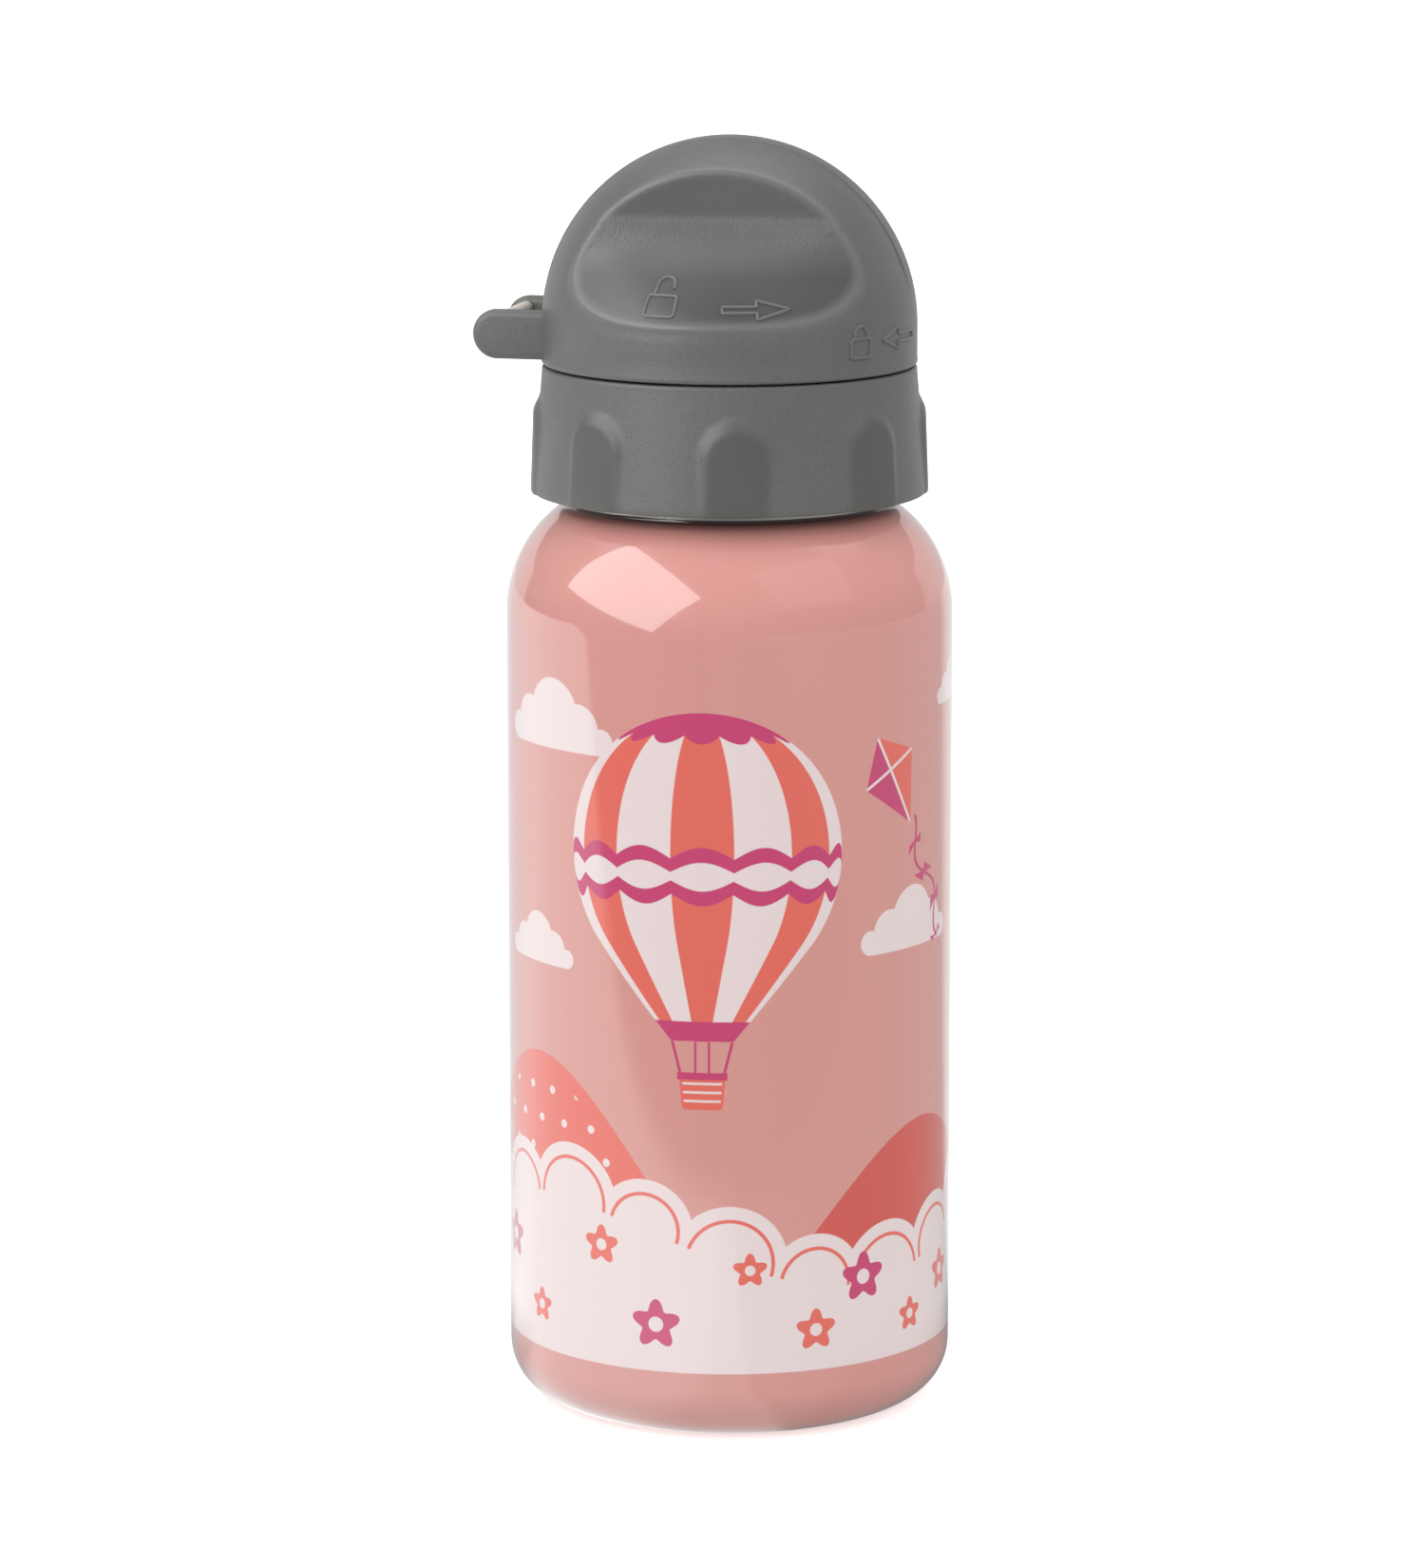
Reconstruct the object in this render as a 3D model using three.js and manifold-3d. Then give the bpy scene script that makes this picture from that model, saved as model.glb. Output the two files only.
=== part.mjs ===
// Kids' drinking bottle: a lacquered steel bottle closed by a grey screw ring, a push-pull spout on a
// deck, and a twist-off dome cover with two finger recesses and a carry loop of two ears and a pin.
// Millimetres, +Z up. The origin is the centre of the underside of the base, and -Y is the front.

import * as THREE from "three";
import { mergeVertices } from "three/addons/utils/BufferGeometryUtils.js";
import Module from "manifold-3d";

const wasm = await Module();
wasm.setup();

// Driving sizes of the steel bottle.
const bottleHeight = 149.1; // underside of the base to the top of the drinking rim
const bottleRadius = 33;
const bottleWall = 0.6;
const baseCornerRadius = 8;
const shoulderRadius = 19;
const neckRadius = 24.4;
const neckHeight = 13.5; // from the foot of the straight neck to the top of the rim
const neckFilletRadius = 1.5;
const rimRollRadius = 0.9;
const baseBeadInnerRadius = 14;
const baseBeadOuterRadius = 21;
const baseBeadHeight = 1.2;

// Driving sizes of the closure.
const clearance = 0.3; // gap between pieces that seat on each other or run in each other
const snapHold = 0.3; // how far a snap bead stands under the edge that it holds
const chamfer = 0.3; // on the edges of the deck, the spout and the pad
const easing = 0.6; // a longer taper where one size of the spout runs into the next
const gasketThickness = 1.5;
const gasketOverhang = 0.8; // past the outside of the neck
const threadRoom = 1.5; // between the neck and the bore of the ring
const ringTopWall = 1.7;
const ringBottomWall = 3.1;
const ringLipThickness = 2;
const ringAboveNeckFoot = 1; // from the foot of the neck up to the lower edge of the ring
const edgeRound = 0.5; // on the outer edges of the ring and of the dome
const lugCount = 8;
const lugHalfWidth = 4.2;
const lugBlend = 1.7;
const lugHeight = 0.95;
const lugTopBelowRing = 4.3; // from the top of the ring down to the crown of a lug
const lugTopSlope = 11; // length of the slope down from the crown of a lug
const firstLugAngle = -88.3; // degrees about +Z from +X
const flangeThickness = 1.8;
const spigotDepth = 4.7;
const spigotWall = 1.4;
const collarHeight = 9.5;
const collarWall = 2.2;
const collarSealRoom = 1.1; // between the collar and the inside of the dome
const collarSealTube = 0.75; // radius of the seal's round section
const collarSealBelowTop = 2.9; // from the top of the collar down to the middle of the seal

// Driving sizes of the spout.
const spoutTravel = 5;
const towerBoreRadius = 5.2;
const towerWall = 2.7;
const towerLanding = 1; // solid wall above and below the groove of the tower's seal
const towerSealTube = 0.55;
const waistStart = 2.3; // from the flange up to the waist that guides the mouthpiece
const plugRadius = 2.7;
const plugHeadLength = 2.6;
const webCount = 3;
const webThickness = 1.4;
const webHeight = 6;
const mouthLift = 1.4; // gap under the mouthpiece when it is pushed shut
const mouthRoom = 2; // between the open mouthpiece and the pad under the crown of the dome
const mouthWall = 1.5;
const mouthSnapWidth = 0.8;
const mouthGripStand = 1.2; // how far the grip flange stands out of the lower wall
const mouthGripRound = 1;
const mouthNeckRadius = 7.2;
const mouthConeHeight = 5.2; // from the top of the tower to the slim neck of the mouthpiece
const mouthBeadRound = 1; // section radius of the bead for the lips
const mouthBeadBelowTop = 2.8;
const mouthTopRound = 0.8;
const mouthTopThickness = 1.7;
const valveStemRadius = 1.7;
const valveCapRadius = 3.6;
const valveCapThickness = 0.9;

// Driving sizes of the dome cover.
const domeWall = 1.8;
const domeSkirtHeight = 5.7;
const domeTurn = -13.8; // degrees about +Z that the closed dome is turned from facing the front
const gripRecessDepth = 14.3; // of the valley of a recess, in from the skirt of the dome
const gripValleyHeight = 15.7; // above the centre of the dome
const gripUpperLean = 0.1;
const gripLowerLean = 1.11;
const gripPlanRadius = 36;
const gripValleyRound = 5;
const gripRimRound = 2.6;
const padRadius = 6.5;
const padThickness = 1.6;
const padStemRadius = 2.2;
const bossWall = 1.5;
const bossDepth = 1.6; // how far the boss reaches below the inside of the crown
const earLength = 5.2; // from the skirt of the dome to the centre of an ear's round end
const earRadius = 3.65;
const earThickness = 2.5;
const earOuterSpacing = 21;
const earLift = 0.65; // of the underside of an ear above the edge of the dome
const pinRadius = 0.95;
const pinCover = 0.45; // wall of an ear left above the hole for the pin
const pinOutset = 0.3; // of the pin past the centre of an ear's round end
const pinSkin = 0.3; // wall of an ear left at the closed end of the hole

// Levels that follow from the driving sizes, from the bottom up.
const neckFoot = bottleHeight - neckHeight;
const ringBottom = neckFoot + ringAboveNeckFoot;
const gasketBottom = bottleHeight + clearance;
const flangeBottom = gasketBottom + gasketThickness + clearance;
const flangeTop = flangeBottom + flangeThickness;
const spigotBottom = flangeBottom - spigotDepth;
const ringLipBottom = flangeTop + clearance;
const ringTop = ringLipBottom + ringLipThickness;
const collarTop = flangeTop + collarHeight;
const collarSealLevel = collarTop - collarSealBelowTop;
const mouthBottom = flangeTop + mouthLift;
const waistBottom = flangeTop + waistStart;
const mouthSnapBottom = waistBottom + 2 * clearance;
const waistTop = mouthSnapBottom + mouthSnapWidth + spoutTravel + clearance;
const towerSealLevel = waistTop + snapHold + towerLanding + towerSealTube + clearance;
const towerTop = towerSealLevel + towerSealTube + clearance + towerLanding;

// Radii that follow from the driving sizes.
const ringBoreRadius = neckRadius + threadRoom;
const ringBottomRadius = ringBoreRadius + ringBottomWall;
const domeRadius = ringBoreRadius + ringTopWall;
const domeInnerRadius = domeRadius - domeWall;
const gripHalfThickness = domeRadius - gripRecessDepth;
const collarRadius = domeInnerRadius - collarSealRoom;
const collarSealRadius = domeInnerRadius - clearance - collarSealTube;
const ringLipRadius = collarRadius + clearance;
const flangeRadius = ringBoreRadius - clearance;
const spigotRadius = neckRadius - 2 * rimRollRadius - clearance;
const spigotInnerRadius = spigotRadius - spigotWall;
const towerRadius = towerBoreRadius + towerWall;
const waistRadius = towerRadius - 2 * snapHold;
const mouthBoreRadius = towerRadius + clearance;
const mouthLowerRadius = mouthBoreRadius + mouthWall;
const mouthGripRadius = mouthLowerRadius + mouthGripStand;
const towerSealRadius = mouthBoreRadius - clearance - towerSealTube;
const valveOffset = (mouthGripRadius + spigotInnerRadius) / 2;

// The dome sits on the ring, and the open mouthpiece stays clear of the pad under its crown.
const domeBottom = ringTop + clearance;
const domeCentre = domeBottom + domeSkirtHeight;
const domeInnerCrown = domeCentre + domeInnerRadius;
const padTop = domeCentre + Math.sqrt(domeInnerRadius ** 2 - padRadius ** 2) - clearance;
const padBottom = padTop - padThickness;
const mouthTop = padBottom - mouthRoom - spoutTravel;

// Facet counts.
const bottleFacets = 40;
const closureFacets = 36;
const spoutFacets = 24;
const smallFacets = 16;
const sealTubeFacets = 6;
const earEdgeFacets = 2;
const earEndFacets = 8;
const beadSteps = 4;
const cornerSteps = 4;
const shoulderSteps = 5;
const neckFilletSteps = 2;
const rimRollSteps = 7;
const mouthRoundSteps = 3;
const domeOuterColumns = 60;
const domeOuterRows = 15;
const domeInnerColumns = 36;
const domeInnerRows = 9;

const degrees = Math.PI / 180;

// Solids

// A closed geometry as a solid that can be joined to and cut by others.
function solidOf(geometry) {
  const bare = geometry.clone();
  bare.deleteAttribute("normal");
  bare.deleteAttribute("uv");
  const merged = mergeVertices(bare, 1e-4);
  return new wasm.Manifold(
    new wasm.Mesh({
      numProp: 3,
      vertProperties: merged.attributes.position.array,
      triVerts: new Uint32Array(merged.index.array),
    }),
  );
}

function geometryOf(solid) {
  const mesh = solid.getMesh();
  const geometry = new THREE.BufferGeometry();
  geometry.setAttribute("position", new THREE.BufferAttribute(mesh.vertProperties, 3));
  geometry.setIndex(new THREE.BufferAttribute(mesh.triVerts, 1));
  geometry.computeVertexNormals();
  return geometry;
}

function join(solids) {
  return solids.reduce((sum, solid) => sum.add(solid));
}

// Points on an arc of a profile, as [radius, height], from one angle to another in degrees.
function arc(centreRadius, centreHeight, radius, from, to, steps) {
  const points = [];
  for (let i = 0; i <= steps; i++) {
    const angle = (from + ((to - from) * i) / steps) * degrees;
    points.push([centreRadius + radius * Math.cos(angle), centreHeight + radius * Math.sin(angle)]);
  }
  return points;
}

// The solid of revolution about +Z of an outline that runs counter-clockwise, up its outer side.
// An outline that doesn't touch the axis is closed to its first point, which makes a ring.
function revolve(outline, facets) {
  const touchesAxis = outline[0][0] === 0;
  const closed = touchesAxis ? outline : [...outline, outline[0]];
  const points = closed.map(([radius, height]) => new THREE.Vector2(radius, height));
  return solidOf(new THREE.LatheGeometry(points, facets).rotateX(Math.PI / 2));
}

function cylinder(radius, bottom, top, facets) {
  return revolve([[0, bottom], [radius, bottom], [radius, top], [0, top]], facets);
}

// A ring of rectangular section.
function washer(innerRadius, outerRadius, bottom, top, facets) {
  const outline = [[innerRadius, bottom], [outerRadius, bottom], [outerRadius, top], [innerRadius, top]];
  return revolve(outline, facets);
}

// A solid through a stack of level rings with equal numbers of points, capped top and bottom.
function stack(rings, bottomPoint, topPoint) {
  const count = rings[0].length;
  const vertices = [...rings.flat(), bottomPoint, topPoint];
  const bottomIndex = vertices.length - 2;
  const topIndex = vertices.length - 1;
  const triangles = [];
  for (let i = 0; i < count; i++) {
    const next = (i + 1) % count;
    const last = (rings.length - 1) * count;
    triangles.push(bottomIndex, next, i);
    triangles.push(topIndex, last + i, last + next);
    for (let level = 0; level < rings.length - 1; level++) {
      const low = level * count;
      const high = low + count;
      triangles.push(low + i, low + next, high + next);
      triangles.push(low + i, high + next, high + i);
    }
  }
  const geometry = new THREE.BufferGeometry().setFromPoints(vertices);
  geometry.setIndex(triangles);
  return solidOf(geometry);
}

function smoothStep(value) {
  const t = THREE.MathUtils.clamp(value, 0, 1);
  return t * t * (3 - 2 * t);
}

// The larger of two values, with the corner between them rounded over the given width.
function smoothMax(a, b, width) {
  const overlap = Math.max(width - Math.abs(a - b), 0) / width;
  return Math.max(a, b) + (overlap * overlap * width) / 4;
}

// Steel bottle

// The line from the axis up to the neck, set in from the outside of the bottle by the given amount.
function bottleLine(inset) {
  const shoulderCentre = bottleRadius - shoulderRadius;
  const filletCentre = neckRadius + neckFilletRadius;
  const reach = shoulderRadius + neckFilletRadius;
  const shoulderRise = Math.sqrt(reach ** 2 - (filletCentre - shoulderCentre) ** 2);
  const shoulderStart = neckFoot - shoulderRise;
  const shoulderEnd = Math.atan2(shoulderRise, filletCentre - shoulderCentre) / degrees;
  const cornerCentre = bottleRadius - baseCornerRadius;
  const filletRadius = neckFilletRadius + inset;
  const fillet = arc(filletCentre, neckFoot, filletRadius, shoulderEnd + 180, 180, neckFilletSteps);
  return [
    [0, inset],
    ...baseBead(inset),
    ...arc(cornerCentre, baseCornerRadius, baseCornerRadius - inset, -90, 0, cornerSteps),
    ...arc(shoulderCentre, shoulderStart, shoulderRadius - inset, 0, shoulderEnd, shoulderSteps),
    ...fillet.slice(1),
  ];
}

// The round bead pressed up into the base to stiffen it.
function baseBead(inset) {
  const points = [];
  for (let i = 0; i <= beadSteps; i++) {
    const share = i / beadSteps;
    const rise = (baseBeadHeight * (1 - Math.cos(2 * Math.PI * share))) / 2;
    points.push([THREE.MathUtils.lerp(baseBeadInnerRadius, baseBeadOuterRadius, share), rise + inset]);
  }
  return points;
}

function bottleShell() {
  const rollCentre = neckRadius - rimRollRadius;
  const innerNeck = neckRadius - bottleWall;
  const rollEnd = 360 - Math.acos((innerNeck - rollCentre) / rimRollRadius) / degrees;
  return revolve(
    [
      ...bottleLine(0),
      ...arc(rollCentre, bottleHeight - rimRollRadius, rimRollRadius, 0, rollEnd, rimRollSteps),
      ...bottleLine(bottleWall).reverse(),
    ],
    bottleFacets,
  );
}

// Screw ring

const lugCrown = ringTop - lugTopBelowRing;
const lugSpringLine = lugCrown - lugHalfWidth - lugBlend;

// How far a lug stands out at a distance along the ring from its middle and at a height.
function lugRise(along, height) {
  const leastRise = 0.4;
  const outside = Math.hypot(along, Math.max(height - lugSpringLine, 0)) - lugHalfWidth;
  const slope = leastRise + (1 - leastRise) * smoothStep((lugCrown - height) / lugTopSlope);
  return lugHeight * slope * (1 - smoothStep(outside / lugBlend));
}

// Heights of the facet rows at a distance from the middle of a lug: they follow its round top.
function ringRows(along) {
  const plainRows = 3;
  const archRows = 4;
  const rows = [];
  for (let i = 0; i <= plainRows; i++) {
    rows.push(THREE.MathUtils.lerp(ringBottom + edgeRound, lugSpringLine, i / plainRows));
  }
  for (let i = 1; i <= archRows; i++) {
    const radius = lugHalfWidth + (lugBlend * (i - 1)) / (archRows - 1);
    const arch = Math.sqrt(Math.max(radius ** 2 - along ** 2, 0));
    rows.push(lugSpringLine + Math.max(arch, (i * lugBlend) / archRows));
  }
  rows.push(ringTop - edgeRound);
  return rows;
}

// Facet columns round the ring, each with its distance from the middle of its lug and its angle.
function ringColumns() {
  const pitch = (2 * Math.PI) / lugCount;
  const halfPitch = (pitch * ringBottomRadius) / 2;
  const foot = lugHalfWidth + lugBlend;
  const oneSide = [lugHalfWidth / 2, lugHalfWidth, lugHalfWidth + lugBlend / 2, foot, (foot + halfPitch) / 2];
  const alongs = [...oneSide.map((along) => -along).reverse(), 0, ...oneSide, halfPitch];
  const columns = [];
  for (let lug = 0; lug < lugCount; lug++) {
    for (const along of alongs) {
      columns.push({ along, angle: firstLugAngle * degrees + lug * pitch + along / ringBottomRadius });
    }
  }
  return columns;
}

function screwRing() {
  const columns = ringColumns();
  const pointAt = (column, height, inset) => {
    const cone = THREE.MathUtils.mapLinear(height, ringBottom, ringTop, ringBottomRadius, domeRadius);
    const radius = cone + lugRise(column.along, height) - inset;
    return new THREE.Vector3(radius * Math.cos(column.angle), radius * Math.sin(column.angle), height);
  };
  const rings = [columns.map((column) => pointAt(column, ringBottom, edgeRound))];
  for (let row = 0; row < ringRows(0).length; row++) {
    rings.push(columns.map((column) => pointAt(column, ringRows(column.along)[row], 0)));
  }
  rings.push(columns.map((column) => pointAt(column, ringTop, edgeRound)));
  const body = stack(rings, new THREE.Vector3(0, 0, ringBottom), new THREE.Vector3(0, 0, ringTop));
  const bore = cylinder(ringBoreRadius, ringBottom - clearance, ringLipBottom, closureFacets);
  const mouth = cylinder(ringLipRadius, ringBottom, ringTop + clearance, closureFacets);
  return body.subtract(bore).subtract(mouth);
}

function neckGasket() {
  const innerRadius = spigotRadius + clearance;
  const outerRadius = neckRadius + gasketOverhang;
  return washer(innerRadius, outerRadius, gasketBottom, gasketBottom + gasketThickness, closureFacets);
}

// Spout deck: flange, spigot into the neck, collar into the dome, and the tower with its valve plug

// The outline of a groove for a round-section seal, from its lower lip to its upper lip.
function sealGroove(wallRadius, sealRadius, tube, level) {
  const floor = sealRadius - tube - clearance;
  const halfWidth = tube + clearance;
  return [
    [wallRadius, level - halfWidth],
    [floor, level - halfWidth],
    [floor, level + halfWidth],
    [wallRadius, level + halfWidth],
  ];
}

// The flange with the spigot below it and the collar above it, whose bead holds the ring captive.
function deckPlate() {
  const beadMiddle = ringTop + clearance;
  return revolve(
    [
      [towerBoreRadius, flangeBottom],
      [spigotInnerRadius, flangeBottom],
      [spigotInnerRadius, spigotBottom],
      [spigotRadius - chamfer, spigotBottom],
      [spigotRadius, spigotBottom + chamfer],
      [spigotRadius, flangeBottom],
      [flangeRadius, flangeBottom],
      [flangeRadius, flangeTop],
      [collarRadius, flangeTop],
      [collarRadius, beadMiddle - clearance / 2],
      [ringLipRadius + snapHold, beadMiddle],
      [collarRadius, beadMiddle + 2 * snapHold],
      ...sealGroove(collarRadius, collarSealRadius, collarSealTube, collarSealLevel),
      [collarRadius, collarTop - chamfer],
      [collarRadius - chamfer, collarTop],
      [collarRadius - collarWall, collarTop],
      [collarRadius - collarWall, flangeTop],
      [towerBoreRadius, flangeTop],
    ],
    closureFacets,
  );
}

// The hollow tower that the mouthpiece slides on, with the waist that limits its travel.
function spoutTower() {
  return revolve(
    [
      [towerBoreRadius, flangeBottom],
      [towerRadius, flangeBottom],
      [towerRadius, waistBottom - snapHold],
      [waistRadius, waistBottom],
      [waistRadius, waistTop],
      [towerRadius, waistTop + snapHold],
      ...sealGroove(towerRadius, towerSealRadius, towerSealTube, towerSealLevel),
      [towerRadius, towerTop - chamfer],
      [towerRadius - chamfer, towerTop],
      [towerBoreRadius, towerTop],
    ],
    spoutFacets,
  );
}

const plugTop = mouthTop - clearance;
const webBottom = towerTop - clearance - webHeight;

// The plug that fills the hole of the mouthpiece when it is pushed shut.
function valvePlug() {
  const stemRadius = plugRadius - easing;
  return revolve(
    [
      [0, webBottom],
      [stemRadius / 2, webBottom],
      [stemRadius, webBottom + stemRadius],
      [stemRadius, plugTop - plugHeadLength - easing],
      [plugRadius, plugTop - plugHeadLength],
      [plugRadius, plugTop - chamfer],
      [plugRadius - chamfer, plugTop],
      [0, plugTop],
    ],
    smallFacets,
  );
}

// Thin webs hold the plug in the middle of the tower and leave the way open for the drink.
function plugWebs() {
  const length = (towerBoreRadius + waistRadius) / 2;
  const webs = [];
  for (let i = 0; i < webCount; i++) {
    const web = new THREE.BoxGeometry(length, webThickness, webHeight);
    web.translate(length / 2, 0, webBottom + webHeight / 2);
    web.rotateZ((i * 2 * Math.PI) / webCount);
    webs.push(solidOf(web));
  }
  return join(webs);
}

function spoutDeck() {
  const bore = cylinder(towerBoreRadius, spigotBottom, flangeTop, spoutFacets);
  const plate = deckPlate().subtract(bore);
  const valveHole = cylinder(valveStemRadius + clearance, spigotBottom, ringTop, smallFacets);
  const deck = join([plate, spoutTower(), plugWebs(), valvePlug()]);
  return deck.subtract(valveHole.translate([0, valveOffset, 0]));
}

// A mushroom valve that lets air in under the deck as the drink is sucked out.
function airValve() {
  const capTop = flangeBottom - clearance;
  const capBottom = capTop - valveCapThickness;
  const bulbBottom = flangeTop + clearance;
  const bulbTop = bulbBottom + valveStemRadius;
  const outline = [
    [0, capBottom],
    [valveCapRadius - valveCapThickness / 2, capBottom],
    [valveCapRadius, capTop],
    [valveStemRadius, capTop],
    [valveStemRadius, bulbBottom],
    [valveStemRadius + 2 * clearance, bulbBottom],
    [valveStemRadius / 2, bulbTop],
    [0, bulbTop],
  ];
  return revolve(outline, smallFacets).translate([0, valveOffset, 0]);
}

// Push-pull mouthpiece, drawn pushed shut
function mouthpiece() {
  const gripLevel = towerTop - mouthGripRound / 2;
  const drinkRadius = mouthNeckRadius - mouthWall;
  const neckBase = towerTop + mouthConeHeight;
  const beadLevel = mouthTop - mouthBeadBelowTop;
  const holeRadius = plugRadius + clearance;
  return revolve(
    [
      [mouthBoreRadius, mouthBottom],
      [mouthLowerRadius - chamfer, mouthBottom],
      [mouthLowerRadius, mouthBottom + chamfer],
      [mouthLowerRadius, gripLevel - 2 * mouthGripRound],
      ...arc(mouthGripRadius - mouthGripRound, gripLevel, mouthGripRound, -60, 60, mouthRoundSteps),
      [mouthLowerRadius - chamfer, towerTop + mouthGripRound],
      [mouthNeckRadius + easing, neckBase - mouthWall],
      [mouthNeckRadius, neckBase],
      [mouthNeckRadius, beadLevel - mouthBeadRound - easing],
      ...arc(mouthNeckRadius, beadLevel, mouthBeadRound, -50, 50, mouthRoundSteps),
      [mouthNeckRadius, mouthTop - mouthTopRound],
      [mouthNeckRadius - mouthTopRound, mouthTop],
      [holeRadius, mouthTop],
      [holeRadius, mouthTop - mouthTopThickness],
      [drinkRadius, mouthTop - mouthTopThickness - easing],
      [drinkRadius, neckBase - mouthWall],
      [mouthBoreRadius, towerTop + clearance],
      [mouthBoreRadius, mouthSnapBottom + mouthSnapWidth + snapHold],
      [waistRadius + clearance, mouthSnapBottom + mouthSnapWidth],
      [waistRadius + clearance, mouthSnapBottom],
      [mouthBoreRadius, mouthSnapBottom - snapHold],
    ],
    spoutFacets,
  );
}

function sealRing(radius, tube, level, facets) {
  return solidOf(new THREE.TorusGeometry(radius, tube, sealTubeFacets, facets).translate(0, 0, level));
}

function mouthpieceSeal() {
  return sealRing(towerSealRadius, towerSealTube, towerSealLevel, spoutFacets);
}

function domeSeal() {
  return sealRing(collarSealRadius, collarSealTube, collarSealLevel, closureFacets);
}

// Dome cover, in its own frame: the recesses face -Y and +Y, and the carry loop is on the -X side

// Below zero inside the form of the dome and above zero outside it, all of it set in by the inset.
function domeField(point, inset) {
  const height = point.z - domeCentre;
  const shell = Math.hypot(point.x, point.y, Math.max(height, 0)) - domeRadius;
  const aboveValley = height - gripValleyHeight;
  const rise = smoothMax(gripUpperLean * aboveValley, -gripLowerLean * aboveValley, gripValleyRound);
  const floor = gripHalfThickness + rise - point.x ** 2 / (2 * gripPlanRadius);
  const recess = (Math.abs(point.y) - floor) / Math.hypot(1, gripLowerLean);
  return smoothMax(shell, recess, gripRimRound) + inset;
}

// The point where a ray from the centre of the dome leaves its form.
function domePoint(azimuth, elevation, inset) {
  const level = Math.cos(elevation);
  const ray = new THREE.Vector3(level * Math.cos(azimuth), level * Math.sin(azimuth), Math.sin(elevation));
  const centre = new THREE.Vector3(0, 0, domeCentre);
  let inside = 0;
  let outside = domeRadius;
  const halvings = 30;
  for (let i = 0; i < halvings; i++) {
    const middle = (inside + outside) / 2;
    if (domeField(centre.clone().addScaledVector(ray, middle), inset) < 0) inside = middle;
    else outside = middle;
  }
  return centre.addScaledVector(ray, inside);
}

// The form of the dome as a solid, cut level at the bottom, with its lower edge eased by edgeCut.
function domeForm(inset, bottom, edgeCut, columns, rows) {
  const ringAt = (elevation) => {
    const points = [];
    for (let i = 0; i < columns; i++) {
      points.push(domePoint((i * 2 * Math.PI) / columns, elevation, inset));
    }
    return points;
  };
  const equator = ringAt(0);
  const level = (height, radiusCut) =>
    equator.map((point) => {
      const radius = Math.hypot(point.x, point.y);
      const share = (radius - radiusCut) / radius;
      return new THREE.Vector3(point.x * share, point.y * share, height);
    });
  const rings = [level(bottom, edgeCut), level(bottom + edgeRound, 0), equator];
  for (let row = 1; row < rows; row++) {
    rings.push(ringAt(((row / rows) * Math.PI) / 2));
  }
  const crown = domePoint(0, Math.PI / 2, inset);
  return stack(rings, new THREE.Vector3(0, 0, bottom), crown);
}

const earReach = domeRadius + earLength;
const earCentreHeight = domeBottom + earLift + earRadius;
const pinHeight = earCentreHeight + earRadius - pinCover - clearance - pinRadius;
const pinReach = earReach + pinOutset;
const pinHalfLength = earOuterSpacing / 2 - pinSkin - clearance;

// One ear: a flat arm with a round end, grown out of the skirt of the dome.
function ear(side) {
  const rootReach = Math.sqrt(domeInnerRadius ** 2 - (earOuterSpacing / 2) ** 2) - domeWall;
  const half = earRadius - edgeRound;
  const outline = new THREE.Shape();
  outline.moveTo(-rootReach, earCentreHeight + half);
  outline.lineTo(-earReach, earCentreHeight + half);
  outline.absarc(-earReach, earCentreHeight, half, Math.PI / 2, (3 * Math.PI) / 2, false);
  outline.lineTo(-rootReach, earCentreHeight - half);
  outline.closePath();
  const arm = new THREE.ExtrudeGeometry(outline, {
    depth: earThickness - 2 * edgeRound,
    bevelThickness: edgeRound,
    bevelSize: edgeRound,
    bevelSegments: earEdgeFacets,
    curveSegments: earEndFacets,
  });
  const middle = (side * (earOuterSpacing - earThickness)) / 2;
  arm.rotateX(Math.PI / 2);
  arm.translate(0, middle + earThickness / 2 - edgeRound, 0);
  return solidOf(arm);
}

function pinRod(radius, halfLength) {
  const rod = new THREE.CylinderGeometry(radius, radius, 2 * halfLength, smallFacets);
  return solidOf(rod.translate(-pinReach, 0, pinHeight));
}

// A short ring under the crown that holds the pad.
function padBoss() {
  const innerRadius = padRadius + clearance;
  const outerRadius = innerRadius + bossWall;
  const ceiling = domeCentre + Math.sqrt(domeInnerRadius ** 2 - outerRadius ** 2);
  return washer(innerRadius, outerRadius, ceiling - bossDepth, ceiling + domeWall / 2, spoutFacets);
}

function domeCover() {
  const outer = domeForm(0, domeBottom, edgeRound, domeOuterColumns, domeOuterRows);
  const hollow = domeForm(domeWall, domeBottom - domeWall, 0, domeInnerColumns, domeInnerRows);
  const solid = join([outer, ear(-1), ear(1)]);
  const pinHole = pinRod(pinRadius + clearance, pinHalfLength + clearance);
  return solid.subtract(hollow).add(padBoss()).subtract(pinHole);
}

function crownPad() {
  const outline = [
    [0, padBottom],
    [padRadius - chamfer, padBottom],
    [padRadius, padBottom + chamfer],
    [padRadius, padTop],
    [padStemRadius, padTop],
    [padStemRadius, domeInnerCrown - clearance],
    [0, domeInnerCrown - clearance],
  ];
  return revolve(outline, spoutFacets);
}

// Scene

const lacquer = new THREE.MeshStandardMaterial({ color: "#dfa49e", roughness: 0.25, metalness: 0 });
const greyPlastic = new THREE.MeshStandardMaterial({ color: "#6b6b69", roughness: 0.55, metalness: 0 });
const palePlastic = new THREE.MeshStandardMaterial({ color: "#dcd9d2", roughness: 0.45, metalness: 0 });
const silicone = new THREE.MeshStandardMaterial({ color: "#d9dad8", roughness: 0.7, metalness: 0 });
const brightSteel = new THREE.MeshStandardMaterial({ color: "#cfcac3", roughness: 0.3, metalness: 0.9 });

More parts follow.
